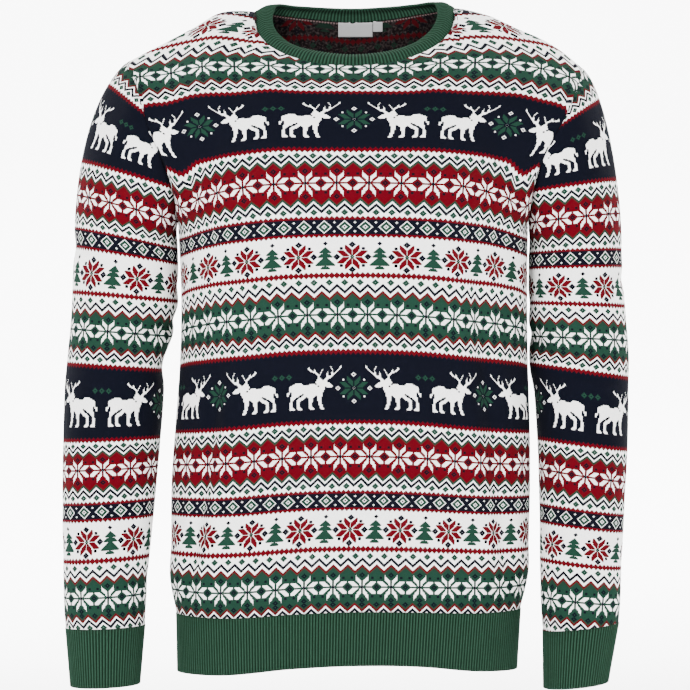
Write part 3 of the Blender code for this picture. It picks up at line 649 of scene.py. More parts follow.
def armhole_line(side):
    """The armhole seam, from the shoulder tip down the front, under the arm and up the back."""
    edge = 0 if side == "left" else -1
    front, back = (PANELS[face][1][ARMPIT_ROW:, edge] for face in FACES)
    return np.vstack([front[::-1], back[1:-1]])


def armhole_frame(line, side):
    """The direction from body to sleeve, and the wall's outward direction along the seam."""
    tip, under = line[0], line[len(line) // 2]
    down = unit(under - tip)
    to_sleeve = unit(np.cross(down, [0, 1, 0]) * WAY[side])
    ahead = unit(np.roll(line, -1, axis=0) - np.roll(line, 1, axis=0))
    return to_sleeve, toward(unit(np.cross(ahead, to_sleeve)), line - line.mean(axis=0))


def neck_outward(points):
    """The wall's outward direction round the neck seam, for the panels and the collar."""
    wall = NECK_WALL
    x = points[:, 0] / wall["half_width"] * wall["lean_side"]
    y = (points[:, 1] - wall["centre_y"]) / wall["half_depth"] * wall["lean_front"]
    return unit(np.stack([x, y, np.full(len(points), wall["up"])], axis=1))


# ---------------------------------------------------------------- the sleeves' form
def tube_ring(ring, turns, side):
    """One ring of a sleeve or cuff; turns run from its outer side to the front and round."""
    half = (ring["outer"] - ring["inner"]) / 2
    out = (ring["outer"] + ring["inner"]) / 2 + half * np.cos(turns)
    y = ring["middle_y"] - ring["deep"] * np.sin(turns)
    z = ring["z"] - ring["slope"] * half * np.cos(turns)
    return np.stack([WAY[side] * out, y, z], axis=-1)


def sleeve_ring(down, turns, side):
    """The ring of a sleeve at one place down its table."""
    ring = {name.removesuffix("_" + side): follow(SLEEVE_RINGS, "down", name, down)
            for name in SLEEVE_RINGS}
    return tube_ring(ring, turns, side)


def cap_row(line, ring, way, side):
    """A row of the sleeve cap: each point on its own curve from the seam to the first ring."""
    turns = turns_round(len(line))
    outside = (1 + np.cos(turns)) / 2
    leave = unit(np.stack([WAY[side] * mix(*CAP_START["out"], outside),
                           -CAP_START["forward"] * np.sin(turns),
                           -mix(*CAP_START["down"], outside)], axis=1))
    span = np.linalg.norm(ring - line, axis=1)[:, None]
    return bridge(way, span, line, ring, CAP_LEAVE[side] * leave, np.array([0.0, 0.0, -1.0]))


def crease_depth(turns, z, rows):
    """How far the creases press each point of a sleeve in."""
    depth = np.zeros(np.broadcast(turns, z).shape)
    for k in range(len(rows["depth"])):
        round_by = (np.degrees(turns) - rows["turn"][k] + 180) % 360 - 180
        level = rows["z"][k] + rows["slant"][k] * round_by
        along = np.exp(-((z - level) / rows["width"][k]) ** 2)
        depth += rows["depth"][k] * along * np.exp(-(round_by / rows["reach"][k]) ** 2)
    return depth


def sleeve_sheet(side):
    """The fine sheet of a sleeve, from its armhole down to the cuff, round from its outer side."""
    line = armhole_line(side)
    turns = turns_round(len(line))
    first = sleeve_ring(0, turns, side)
    seam = line + HALF_GAP * armhole_frame(line, side)[0]
    cap, count = SLEEVE_CAP_ROWS * FINE_CAP, SLEEVE_ROWS * FINE_SLEEVE
    last = SLEEVE_RINGS["down"][-1]
    rows = [cap_row(seam, first, k / cap, side) for k in range(cap)]
    rows += [sleeve_ring(last * k / count, turns, side) for k in range(count + 1)]
    place = np.concatenate([np.arange(cap) / FINE_CAP,
                            SLEEVE_CAP_ROWS + np.arange(count + 1) / FINE_SLEEVE])
    points = np.array(rows)
    normals = toward(sheet_normals(points, True), points - points.mean(axis=1, keepdims=True))
    fade = smooth_step(place / CAP_FADE) * smooth_step((place[-1] - place) / CUFF_FADE)
    depth = crease_depth(turns[None, :], points[..., 2], CREASES[side]) * fade[:, None]
    return points - normals * depth[..., None]


def sleeve_count(points, side):
    """The stitches round and the rows down at each point of a sleeve whose sheet is
    opened under the arm: its first and last columns are the same line."""
    count = SLEEVE_COUNT[side]
    out = np.abs(points[..., 0])
    level = points[..., 2]
    for _ in range(LEVEL_ROUNDS):
        rise = follow(count, "z", "slope", level) * (out - follow(count, "z", "middle", level))
        level = points[..., 2] - rise
    row = follow(count, "z", "row", level)
    return count_across(points, level, points.shape[1] // 2) / SLEEVE_STITCH, row


# ---------------------------------------------------------------- making the pieces
def alone(piece):
    """Select one piece and nothing else."""
    bpy.ops.object.select_all(action="DESELECT")
    piece.select_set(True)
    bpy.context.view_layer.objects.active = piece


def new_grid(name, points):
    """A grid laid on rows of points, in metres."""
    rows, columns = points.shape[:2]
    bpy.ops.object.select_all(action="DESELECT")
    bpy.ops.mesh.primitive_grid_add(x_subdivisions=columns - 1, y_subdivisions=rows - 1, size=1)
    piece = bpy.context.object
    piece.name = piece.data.name = name
    piece.data.vertices.foreach_set("co", points.reshape(-1))
    return piece


def knitted_sheet(name, points, stitch, row):
    """A grid on rows of points in millimetres, with its stitch count as a UV map."""
    piece = new_grid(name, points * MM)
    mesh = piece.data
    while mesh.uv_layers:
        mesh.uv_layers.remove(mesh.uv_layers[0])
    count = mesh.uv_layers.new(name="stitches")
    corner = np.zeros(len(mesh.loops), dtype=np.int32)
    mesh.loops.foreach_get("vertex_index", corner)
    both = np.stack([stitch.reshape(-1)[corner], row.reshape(-1)[corner]], axis=1)
    count.data.foreach_set("uv", both.reshape(-1))
    mesh.update()
    return piece


def close_seam(piece):
    """Join the edges that lie on each other."""
    alone(piece)
    bpy.ops.object.mode_set(mode="EDIT")
    bpy.ops.mesh.select_all(action="SELECT")
    bpy.ops.mesh.remove_doubles(threshold=1e-6)
    bpy.ops.object.mode_set(mode="OBJECT")


def give_wall(piece, wall):
    """A wall behind the sheet, with the second material on its inside."""
    alone(piece)
    thick = piece.modifiers.new("wall", "SOLIDIFY")
    thick.thickness = wall * MM
    thick.offset = -1
    thick.material_offset = 1
    bpy.ops.object.modifier_apply(modifier=thick.name)


def finish_piece(piece, *materials):
    for material in materials:
        piece.data.materials.append(material)
    piece.data.shade_smooth()


def make_panel(face):
    """The front or the back, with the gap of a seam along its edges."""
    across, points, normals = PANELS[face]
    stitch, row = body_count(face)
    outer, outward = points.copy(), normals.copy()
    steps = YOKE_ROWS * FINE_YOKE
    down_front, up_back = np.arange(steps, -1, -1), np.arange(steps, 2 * steps + 1) % (2 * steps)
    for edge, side in ((0, "left"), (-1, "right")):
        line = armhole_line(side)
        to_sleeve, seam_out = armhole_frame(line, side)
        outer[:ARMPIT_ROW + 1, edge, 1] += WAY[face] * HALF_GAP
        outer[ARMPIT_ROW:, edge] -= HALF_GAP * to_sleeve
        outward[:ARMPIT_ROW, edge] = (WAY[side], 0, 0)
        outward[ARMPIT_ROW:, edge] = seam_out[down_front if face == "front" else up_back]
    shoulder = np.abs(across) >= NECK_SHARE - TINY
    outer[-1, shoulder, 1] += WAY[face] * HALF_GAP
    outward[-1, shoulder] = unit(outward[-1, shoulder] * [1, 0, 1])
    neck = np.abs(across) <= NECK_SHARE + TINY
    outward[-1, neck] = neck_outward(points[-1, neck])
    inner = outer - WALL * outward
    if face == "back":
        outer, inner, stitch, row = mirrored(outer, inner, stitch, row)
        BACK_INNER[:] = inner
    piece = knitted_sheet("knit_" + face, outer, stitch, row)
    count = len(piece.data.vertices)
    finish_piece(piece, KNIT, KNIT_INSIDE)
    give_wall(piece, WALL)
    if len(piece.data.vertices) == 2 * count:
        places = np.vstack([outer.reshape(-1, 3), inner.reshape(-1, 3)])
        piece.data.vertices.foreach_set("co", (places * MM).reshape(-1))
        piece.data.update()
    return piece


def make_sleeve(side):
    """A sleeve, its wall and its stitch count."""
    points = sleeve_sheet(side)
    half = points.shape[1] // 2
    opened = np.concatenate([points[:, half:], points[:, :half + 1]], axis=1)
    stitch, row = sleeve_count(opened, side)
    grids = opened[::-1], stitch[::-1], row[::-1]
    if side == "right":
        grids = mirrored(*grids)
    piece = knitted_sheet("knit_sleeve_" + side, *grids)
    close_seam(piece)
    finish_piece(piece, KNIT, KNIT_INSIDE)
    give_wall(piece, WALL)
    return piece, points[-1]


def ribbed_band(kind, name, lines, ways, wall, reverse):
    """A ribbed tube from lines round it, outer side first, with a rounded end and an inner side."""
    ribs = RIBS[kind]
    turn = np.arange(ribs * RIB_POINTS) / RIB_POINTS
    lift = mix(RIB_IN, RIB_OUT, np.abs(np.cos(np.pi * turn)) ** RIB_CREST)
    shares = np.arange(ribs * RIB_POINTS) / (ribs * RIB_POINTS)
    both = np.array([on_loop(np.hstack([line, way]), shares) for line, way in zip(lines, ways)])
    base, way = both[..., :3], unit(both[..., 3:])
    end_way = unit(base[-1] - base[-2])
    middle = base[-1] - wall / 2 * way[-1]
    rounding = []
    for degrees, ribbed in ((45, 1), (90, 1), (135, 0)):
        angle = np.radians(degrees)
        reach = np.cos(angle) * (wall / 2 + ribbed * lift)
        rounding.append(middle + reach[:, None] * way[-1] + np.sin(angle) * wall / 2 * end_way)
    outer = base + lift[:, None] * way
    inner = base[::-1] - (wall - RIB_INSIDE * lift[:, None]) * way[::-1]
    points = np.concatenate([outer, np.array(rounding), inner, outer[:1]])
    points = np.concatenate([points, points[:, :1]], axis=1)
    way_down = way_along(turned(points)).mean(axis=0)
    stitch = np.broadcast_to(np.append(turn, ribs), points.shape[:2])
    row = np.broadcast_to((way_down / RIB_ROW)[:, None], points.shape[:2])
    grids = points, stitch, row
    if reverse:
        grids = mirrored(*grids)
    piece = knitted_sheet(name, *grids)
    close_seam(piece)
    finish_piece(piece, RIB)
    return piece


def straight_band(kind, name, ends, ways, reverse):
    """A ribbed tube that is straight from its first ring to its last."""
    count = BAND_LINES[kind]
    lines, ways = (np.array([mix(*pair, k / (count - 1)) for k in range(count)])
                   for pair in (ends, unit(ways * [1, 1, 0])))
    return ribbed_band(kind, name, lines, ways, RIB_WALL, reverse)


def make_cuff(side, sleeve_end):
    """A ribbed cuff, a tube below the sleeve's last ring."""
    foot = tube_ring(CUFF[side], turns_round(len(sleeve_end)), side)
    ends = np.array([sleeve_end - [0, 0, SEAM_GAP], foot])
    ways = ends - ends.mean(axis=1, keepdims=True)
    return straight_band("cuff", "rib_cuff_" + side, ends, ways, side == "left")


def make_hem():
    """The ribbed hem, a tube below the two panels."""
    across = PANELS["front"][0]
    z = follow(HEM, "across", "foot_z", across)
    seams = [PANELS[face][1][0] for face in FACES]
    feet = [body_section(across, z, face) for face in FACES]
    seam, foot = (np.vstack([front, back[-2:0:-1]]) for front, back in (seams, feet))
    ends = np.array([seam - [0, 0, SEAM_GAP], foot])
    ways = toward(sheet_normals(ends, True), ends - ends.mean(axis=1, keepdims=True))
    return straight_band("hem", "rib_hem", ends, ways, True)


def make_collar():
    """The ribbed collar, a double band that rises from the neck seam to its rolled edge."""
    count = NECK_COLUMNS * FINE_COLLAR
    half = np.arange(-count, count + 1) / count
    places = [("left", place) for place in half] + [("right", place) for place in half[-2:0:-1]]
    seam, top = neck_line(places), neck_line(places, "edge_")
    out_seam = neck_outward(seam)
    rise = unit(top - seam)
    base = seam + SEAM_GAP * rise
    top = top - COLLAR_END * rise
    around = np.roll(top, -1, axis=0) - np.roll(top, 1, axis=0)
    leaning = toward(unit(np.cross(around, rise)), out_seam)
    middle = mix(base, top, COLLAR_CREST) + COLLAR_BULGE * leaning
    ends = np.array([base, middle, top])
    ways = np.array([out_seam, leaning, unit(leaning + COLLAR_LEAN * rise)])
    at = np.linspace(0, 1, BAND_LINES["collar"])
    knots = np.array([0, COLLAR_CREST, 1.0])
    return ribbed_band("collar", "rib_collar", through(knots, ends, at),
                       through(knots, ways, at), COLLAR_WALL, False)


def back_inside(inner, x, z):
    """The point and outward direction on the inside of the back, at a place seen in front."""
    yoke = inner[ARMPIT_ROW:]
    both = np.concatenate([yoke, sheet_normals(yoke, False)], axis=-1)
    middle = yoke.shape[1] // 2
    found = np.array([[np.interp(z, yoke[:, k, 2], value) for value in both[:, k].T]
                      for k in range(middle - LABEL_REACH, middle + LABEL_REACH + 1, 2)])
    found = found[np.argsort(found[:, 0])]
    ways = toward(unit(found[:, 3:]), [0, 1, 0])
    point = [x] + [np.interp(x, found[:, 0], found[:, axis]) for axis in (1, 2)]
    way = [np.interp(x, found[:, 0], value) for value in ways.T]
    return np.array(point), unit(np.array(way))


def make_label(name):
    """A small blank label that lies on the inside of the back, just under the neck seam."""
    place = LABELS[name]
    xs = np.linspace(place["left"], place["right"], place["columns"] + 1)
    zs = np.linspace(place["foot"], place["top"], LABEL_LINES)
    cells = [[back_inside(BACK_INNER, x, z) for x in xs] for z in zs]
    near = np.array([[point - (LABEL_GAP + LABEL_WALL) * way for point, way in line]
                     for line in cells])
    piece = knitted_sheet("label_" + name, near, *np.meshgrid(xs, zs))
    finish_piece(piece, LABEL)
    give_wall(piece, LABEL_WALL)
    return piece


def make_neck_sewing():
    """The chain of sewing that joins the collar to the back, seen through the neck."""
    sewing = NECK_SEWING
    half = np.linspace(sewing["first"], sewing["last"], sewing["points"])
    places = [("left", place) for place in half[::-1]] + [("right", place) for place in half]
    line = neck_line(places)
    outward = neck_outward(line)
    rise = unit(neck_line(places, "edge_") - line)
    middle = line - (COLLAR_WALL + sewing["behind"]) * outward - sewing["below"] * rise
    corners = np.arange(sewing["corners"] + 1)
    points = np.array([middle + sewing["thick"] * np.cos(turn) * outward
                       + sewing["tall"] * np.sin(turn) * rise
                       for turn in np.radians(corners * 360.0 / sewing["corners"])])
    stitch = np.broadcast_to(way_along(middle) / sewing["stitch"], points.shape[:2])
    row = np.broadcast_to(corners[:, None], points.shape[:2])
    piece = knitted_sheet("neck_sewing", points, stitch, row)
    close_seam(piece)
    alone(piece)
    bpy.ops.object.mode_set(mode="EDIT")
    bpy.ops.mesh.select_all(action="SELECT")
    bpy.ops.mesh.region_to_loop()
    bpy.ops.mesh.edge_face_add()
    bpy.ops.mesh.select_all(action="SELECT")
    bpy.ops.mesh.normals_make_consistent(inside=False)
    bpy.ops.object.mode_set(mode="OBJECT")
    finish_piece(piece, SEWING)
    return piece


# ---------------------------------------------------------------- charts
# Each text is one row of knitting: the stitches that take the yarn, counted out from
# the middle of the motif, as first-last.
STAR_WHITE = [
    "", "", "5", "5", "4-5", "3-5", "2-5", "1-5", "1-4 7-11", "1-3 6-11", "1-2 5-10", "1-2 4-9",
    "1 3-8", "", "1 3-8", "1-2 4-9", "1-2 5-10", "1-3 6-11", "1-4 7-11", "1-4 8-11", "2-5", "3-5",
    "3-5", "4-5", "5", "5", "", "",
]
STAR_NAVY = [
    "0", "0-1", "1-2", "0-1", "0 8-9", "8-9", "", "", "", "", "", "12",
    "0 11-12", "0-1 10-11", "0 11-12", "12", "", "", "", "", "", "8-9",
    "8-9", "0", "0-1", "1-2", "0-1", "0",
]
STAR_TOP = -13          # where the charts start, from the middle row of their band
FLAKE = ["", "3-7", "1 4-8", "1-2 5-9", "1-3 6-10", "1-4 7-11", "1-4", "2-5", "3-5", "4-5", "5"]
TREE = ["0", "0-1", "0-2", "0-3", "0-4", "0-1", "0-3", "0-4", "0-5", "0-1", "0-2", "0-3", "0-4",
        "0-5", "0-6", "0-7", "0", "0-2", "0-3"]
TREE_TOP = -8
DEER = [
    "0", "0-1 8-9 26", "0-1 8 26-27", "1-2 7-8 15 22 25-27", "2-3 7 15-16 21-22 24-26",
    "3-4 7 11 16 21-25", "4-5 7-8 11 16-17 20-23", "5-8 11-12 17 19-21", "6-8 11-12 17-20",
    "7-12 18-19", "8-12 18-19", "9-13 17-19", "11-14 16-20", "12-20", "12-21", "10-21 33-38",
    "9-20 22-26 32-40", "8-19 21-42", "7-18 20-43", "8-12 14-43",
    "14-43", "14-43", "15-43", "15-41 43-45", "16-41 43-45", "16-31 33-41 44-45",
    "16-32 35-41 44-45", "16-20 22-33 36-42", "17-20 23-28 30-35 38-42", "17-20 24-27 31-36 39-42",
    "17-20 24-27 32-37 40-42", "17-20 24-27 34-37 41-42", "17-19 24-27 35-37 41-43",
    "17-19 25-27 35-37 41-43", "17-19 25-27 35-37 41-43", "16-19 25-27 35-37 41-43",
    "16-18 25-27 35-37 41-43", "16-18 24-27 34-37 40-43", "15-18 23-27 33-37 39-43",
    "15-17 23-26 33-36 39-43",
]
DEER_TOP = 161          # where the deer's chart starts, as a row of the repeat
DEER_FACE = 10          # and as a stitch out from the snowflake it faces
DEER_HEIGHT = 20        # rows of the deer in one chart
CHART_WIDTH = 20        # stitches held by one channel of a chart
CHART_ROWS = 32
NEARLY_HALF = 0.49999   # a digit of 1 leaves a fraction of a half or more


def row_code(line, first):
    """One channel of a chart's row: a binary fraction with a digit for each stitch."""
    code = 0.0
    for run in line.split():
        ends = [int(n) for n in run.split("-")]
        for stitch in range(ends[0], ends[-1] + 1):
            if first <= stitch < first + CHART_WIDTH:
                code += 2.0 ** (first - stitch - 1)
    return code


def reckon(tree, operation, *values):
    """The result of one operation in a node group, on plain numbers and on counts."""
    made = tree.nodes.new("ShaderNodeMath")
    made.operation = operation
    for slot, value in zip(made.inputs, values):
        if isinstance(value, Count):
            tree.links.new(value.socket, slot)
        else:
            slot.default_value = value
    return Count(tree, made.outputs[0])


class Count:
    """A number in a node group, on which sums are written as on plain numbers."""

    def __init__(self, tree, socket):
        self.tree, self.socket = tree, socket

    def do(self, operation, *others):
        return reckon(self.tree, operation, self, *others)

    __add__ = partialmethod(do, "ADD")
    __sub__ = partialmethod(do, "SUBTRACT")
    __mul__ = both = partialmethod(do, "MULTIPLY")
    __abs__ = partialmethod(do, "ABSOLUTE")
    either = partialmethod(do, "MAXIMUM")
    under = partialmethod(do, "LESS_THAN")
    over = partialmethod(do, "GREATER_THAN")

    def whole(self):
        return (self + 0.5).do("FLOOR")

    def off_centre(self):
        """How far this lies off the middle of its own stitch or row."""
        return (self + 0.5).do("FRACT") - 0.5

    def less_from(self, total):
        """total minus this."""
        return (self * -1) + total

    def from_middle(self, half):
        """The distance from the nearest repeat's middle, where repeats are two halves wide."""
        return self.do("PINGPONG", half).whole()

    def about(self, value, within=0.6):
        """1 at a whole number, or at the two beside a half, if nothing else is said."""
        return self.do("COMPARE", value, within)

    def instead(self, mask, value):
        """This number, or another one where the mask is 1."""
        change = value - self if isinstance(value, Count) else self.less_from(value)
        return self + change.both(mask)


def chart(tree, channels, row, stitches):
    """Masks of up to three channels of a chart, read at a row and at a stitch of each."""
    ramp = tree.nodes.new("ShaderNodeValToRGB")
    ramp.color_ramp.interpolation = "CONSTANT"
    stops = ramp.color_ramp.elements
    length = max(len(lines) for lines, _ in channels)
    for k in range(length + 1):
        codes = [row_code(lines[k] if k < len(lines) else "", first) for lines, first in channels]
        stop = stops[k] if k < 2 else stops.new(k / CHART_ROWS)
        stop.position = k / CHART_ROWS
        stop.color = codes + [0.0] * (3 - len(codes)) + [1.0]
    inside = row.over(-0.5).both(row.under(length - 0.5))
    place = (row + 0.5) * (1.0 / CHART_ROWS)
    tree.links.new(place.socket, ramp.inputs[0])
    split = tree.nodes.new("ShaderNodeSeparateColor")
    tree.links.new(ramp.outputs["Color"], split.inputs[0])
    found = []
    for k, at in enumerate(stitches):
        code = Count(tree, split.outputs[k]) + 0.5 ** (CHART_WIDTH + 1)
        power = at.do("MAXIMUM", 0.0).do("MINIMUM", CHART_WIDTH - 1.0)
        shifted = code * reckon(tree, "POWER", 2.0, power)
        bit = shifted.do("FRACT").over(NEARLY_HALF)
        held = at.over(-0.5).both(at.under(CHART_WIDTH - 0.5)).both(inside)
        found.append(bit.both(held))
    return found


def new_group(name, outputs):
    """A shader node group's tree, the stitch and the row given to it, and its outputs."""
    tree = bpy.data.node_groups.new(name, "ShaderNodeTree")
    for in_out, labels in (("INPUT", ("Stitch", "Row")), ("OUTPUT", outputs)):
        for label in labels:
            tree.interface.new_socket(name=label, in_out=in_out, socket_type="NodeSocketFloat")
    given, made = tree.nodes.new("NodeGroupInput"), tree.nodes.new("NodeGroupOutput")
    return tree, Count(tree, given.outputs[0]), Count(tree, given.outputs[1]), made


YARN_NAMES = ("White", "Navy", "Green", "Red")
WHITE_YARN, NAVY_YARN, GREEN_YARN, RED_YARN = 0.0, 1.0, 2.0, 3.0
SPREAD = 0.39           # how far, in stitches, the coloured yarns spread over the white
# How a stitch's legs lie and how they curve, across and towards their ends.
LEG_SLANT, LEG_TOP, LEG_ROUND, END_ROUND = -0.24, 0.37, -22.0, -1.2

# The rows of one repeat, how many of them lie above row 0, and the bands' middle rows.
REPEAT_ROWS, ROWS_ABOVE = 243.0, 34
GREEN_STARS, DIAMONDS, RED_FLAKES, SMALL_GEMS, GREEN_FLAKES = 116, 39, 66, 82, 181
# Half the stitches of a repeat of each motif.
TOOTH_HALF, PEAK_HALF, STAR_HALF = 2.0, 6.0, 12.0
DIAMOND_HALF, FLAKE_HALF, DEER_HALF = 8.0, 21.0, 59.0


def pattern_group():
    """Which yarn each stitch is knitted with: bands of stars, deer, snowflakes and trees.

    Stitches and rows are whole numbers here, so limits between two of them end in .5.
    """
    tree, stitch, row, made = new_group("Fair Isle pattern", YARN_NAMES)
    stitch, row = stitch.whole(), row.whole()
    place = (row + ROWS_ABOVE).do("FLOORED_MODULO", REPEAT_ROWS) - ROWS_ABOVE
    tooth = stitch.from_middle(TOOTH_HALF)
    yarn = place * 0.0

    def lay(number, where, *masks):
        """Knit with one yarn where all the masks are 1."""
        nonlocal yarn
        for mask in masks:
            where = where.both(mask)
        yarn = yarn.instead(where, number)

    # star bands: red round row 0 with a green line, and green with a red line
    green = place.over(85.5).both(place.under(146.5))
    star_band = green.either(place.under(29.5))
    at = place - green * GREEN_STARS
    lower = at.over(0.5)
    from_peak = (stitch + STAR_HALF).from_middle(PEAK_HALF)
    from_star = (stitch + STAR_HALF).from_middle(STAR_HALF)
    wave = abs(at) + from_peak
    edge = wave - lower - green.both(lower)
    lay(green.less_from(RED_YARN), star_band, edge.under(18.5))
    lay(green + GREEN_YARN, star_band, edge.about(19.5))
    lay(NAVY_YARN, star_band, (wave - lower - green).about(24.5))
    gem = abs(abs(at + green - 0.5) - green * 2 - 25.5) + from_peak.less_from(PEAK_HALF)
    lay(GREEN_YARN, star_band, gem.about(1.5))
    lay(NAVY_YARN, green, (abs(at - 16) + from_peak).about(1.5))
    white, navy = chart(tree, [(STAR_WHITE, 0), (STAR_NAVY, 0)], at - STAR_TOP, [from_star] * 2)
    lay(WHITE_YARN, star_band, white)
    lay(NAVY_YARN, star_band, navy)

    # navy deer band with a red zigzag along each edge
    rise = place - tooth
    lay(RED_YARN, rise.about(148.0, 1.1).either(rise.about(-32.0, 1.1)))
    lay(NAVY_YARN, rise.over(149.5).either(rise.under(-33.5)))

    # navy band of nested diamonds between red teeth
    off = abs(place - DIAMONDS)
    diamond_band = off.under(6.5)
    lay(RED_YARN, off.over(6.5), (off + tooth).under(9.5))
    lay(NAVY_YARN, diamond_band)
    from_diamond = (stitch + 6).from_middle(DIAMOND_HALF)
    nest = from_diamond + off
    lay(WHITE_YARN, diamond_band, nest.about(3.5, 2.6))
    lay(GREEN_YARN, diamond_band, nest.about(3.5))
    spark = from_diamond.less_from(DIAMOND_HALF) + abs(off - 4)
    lay(WHITE_YARN, diamond_band, spark.under(1.5))

    # snowflakes: red on the white band, green between the deer
    deer_band = place.over(155.5)
    white_band = place.about(RED_FLAKES, 14.5)
    flake_band = white_band.either(deer_band)
    across = stitch.from_middle(FLAKE_HALF).instead(deer_band, stitch.from_middle(DEER_HALF))
    up = place - RED_FLAKES - deer_band * (GREEN_FLAKES - RED_FLAKES)
    tall = abs(up)
    flake, = chart(tree, [(FLAKE, 0)], tall, [across])
    lay(deer_band.less_from(RED_YARN), flake_band, flake)
    contrast = deer_band.less_from(NAVY_YARN)
    for gem in (across + abs(tall - deer_band - 11), abs(across - deer_band - 12) + tall):
        lay(contrast, flake_band, gem.about(1.5))
    lay(contrast, flake_band, across.about(8.5), tall.about(7.5))
    lay(deer_band.less_from(1.0) * GREEN_YARN, flake_band, (across + tall).about(1.0, 0.1))

    # trees between the red snowflakes, and a row of small red diamonds
    from_tree = across.less_from(FLAKE_HALF)
    tree_stitch, = chart(tree, [(TREE, 0)], up - TREE_TOP, [from_tree])
    lay(GREEN_YARN, white_band, tree_stitch)
    lay(NAVY_YARN, white_band, (from_tree + abs(up + 12)).under(1.5))
    lay(RED_YARN, (tooth * 1.2 + abs(place - SMALL_GEMS)).under(2.55))

    # pairs of deer that face the snowflakes, in two halves of their chart
    firsts = [k * CHART_WIDTH for k in range(3)]
    columns = [across - DEER_FACE - first for first in firsts]
    for top in range(0, len(DEER), DEER_HEIGHT):
        lines = DEER[top:top + DEER_HEIGHT]
        for mask in chart(tree, [(lines, first) for first in firsts],
                          place - DEER_TOP - top, columns):
            lay(WHITE_YARN, deer_band, mask)
    gem = abs(across - 53).do("MINIMUM", across.less_from(DEER_HALF)) + abs(place - 170)
    lay(GREEN_YARN, deer_band, gem.about(1.5))

    for number, label in enumerate(YARN_NAMES):
        tree.links.new(yarn.about(number, 0.2).socket, made.inputs[label])
    return tree


def stitch_group():
    """The relief of plain knitting: a column of V-shaped stitches."""
    tree, stitch, row, made = new_group("Knit stitches", ["Height"])
    y = (row + 0.5).do("FRACT")
    leg = abs(stitch.off_centre()) - (y * LEG_SLANT + LEG_TOP)
    round_leg = (leg * leg * LEG_ROUND + 1.0).do("MAXIMUM", 0.0)
    end = (y - 0.5) * (y - 0.5) * END_ROUND + 1.0
    tree.links.new((round_leg.do("SQRT") * end).socket, made.inputs["Height"])
    return tree


# ---------------------------------------------------------------- materials
YARNS = {
    "white": (0.90, 0.89, 0.875),
    "navy": (0.0024, 0.0029, 0.0060),
    "green": (0.0075, 0.0265, 0.0168),
    "red": (0.068, 0.0014, 0.0040),
    "rib": (0.0088, 0.0230, 0.0140),
}
# the yarns floated behind the white, made darker with painted shade for the inside
FLOATS_IN_PAINTED_SHADE = ((0.0030, 0.0020, 0.0022), (0.026, 0.020, 0.020))    # the yarns behind the white
LABEL_TAPE = (0.22, 0.22, 0.22)
SEWING_EDGE, SEWING_THREAD = (0.004, 0.007, 0.005), (0.075, 0.05, 0.05)
THREAD_FROM = 0.17      # how far from a sewing stitch's end, in stitches, the thread shows
WOOL = {"roughness": 0.95, "sheen": 0.005}


def new_material(name, roughness, sheen=0.0):
    """A matt cloth material, its nodes and its shader."""
    made = bpy.data.materials.new(name)
    made.use_nodes = True
    shader = made.node_tree.nodes["Principled BSDF"]
    for label, value in (("Roughness", roughness), ("Metallic", 0.0),
                         ("Specular IOR Level", 0.02), ("Sheen Weight", sheen),
                         ("Sheen Roughness", 0.5)):
        shader.inputs[label].default_value = value
    return made, made.node_tree, shader


def node(tree, kind, **settings):
    made = tree.nodes.new(kind)
    for name, value in settings.items():
        setattr(made, name, value)
    return made


def mixed(tree, share, first, second, blend="MIX"):
    """A colour between two others."""
    made = node(tree, "ShaderNodeMix", data_type="RGBA", blend_type=blend)
    for slot, value in ((made.inputs[0], share), (made.inputs[6], first), (made.inputs[7], second)):
        if isinstance(value, bpy.types.NodeSocket):
            tree.links.new(value, slot)
        else:
            slot.default_value = value if isinstance(value, float) else tuple(value) + (1.0,)
    return made.outputs[2]


def stitch_count(tree):
    """The two counts of the stitch map."""
    place = node(tree, "ShaderNodeUVMap", uv_map="stitches")
    split = node(tree, "ShaderNodeSeparateXYZ")
    tree.links.new(place.outputs[0], split.inputs[0])
    return split.outputs[0], split.outputs[1]


def place_group(tree, group, stitch, row):
    made = node(tree, "ShaderNodeGroup", node_tree=group)
    tree.links.new(stitch, made.inputs["Stitch"])
    tree.links.new(row, made.inputs["Row"])
    return made


def wool_noise(tree, scale):
    """Fine mottling on the piece's own coordinates."""
    place = node(tree, "ShaderNodeTexCoord")
    noise = node(tree, "ShaderNodeTexNoise")
    noise.inputs["Scale"].default_value = scale
    noise.inputs["Detail"].default_value = 2.0
    tree.links.new(place.outputs["Object"], noise.inputs["Vector"])
    return noise.outputs[0]


def ramped(tree, value, low, high):
    made = node(tree, "ShaderNodeMapRange")
    made.inputs[3].default_value, made.inputs[4].default_value = low, high
    tree.links.new(value, made.inputs[0])
    return made.outputs[0]


def shaded(tree, share, colour, value, low, high):
    """A colour made darker or lighter by a share of a value, spread from low to high."""
    return mixed(tree, share, colour, ramped(tree, value, low, high), "MULTIPLY")


def bumped(tree, shader, height, strength, distance):
    made = node(tree, "ShaderNodeBump")
    made.inputs["Strength"].default_value = strength
    made.inputs["Distance"].default_value = distance
    tree.links.new(height, made.inputs["Height"])
    tree.links.new(made.outputs[0], shader.inputs["Normal"])


def yarn_colour(tree, stitch, row):
    """The colour of the stitch at a place, and 1 where that stitch is white."""
    pattern = place_group(tree, PATTERN, stitch, row)
    colour = mixed(tree, pattern.outputs["Navy"], YARNS["white"], YARNS["navy"])
    colour = mixed(tree, pattern.outputs["Green"], colour, YARNS["green"])
    return mixed(tree, pattern.outputs["Red"], colour, YARNS["red"]), pattern.outputs["White"]


def toward_neighbour(tree, socket):
    """A count moved towards the nearest of the next stitches."""
    count = Count(tree, socket)
    return (count + count.off_centre().do("SIGN") * SPREAD).socket


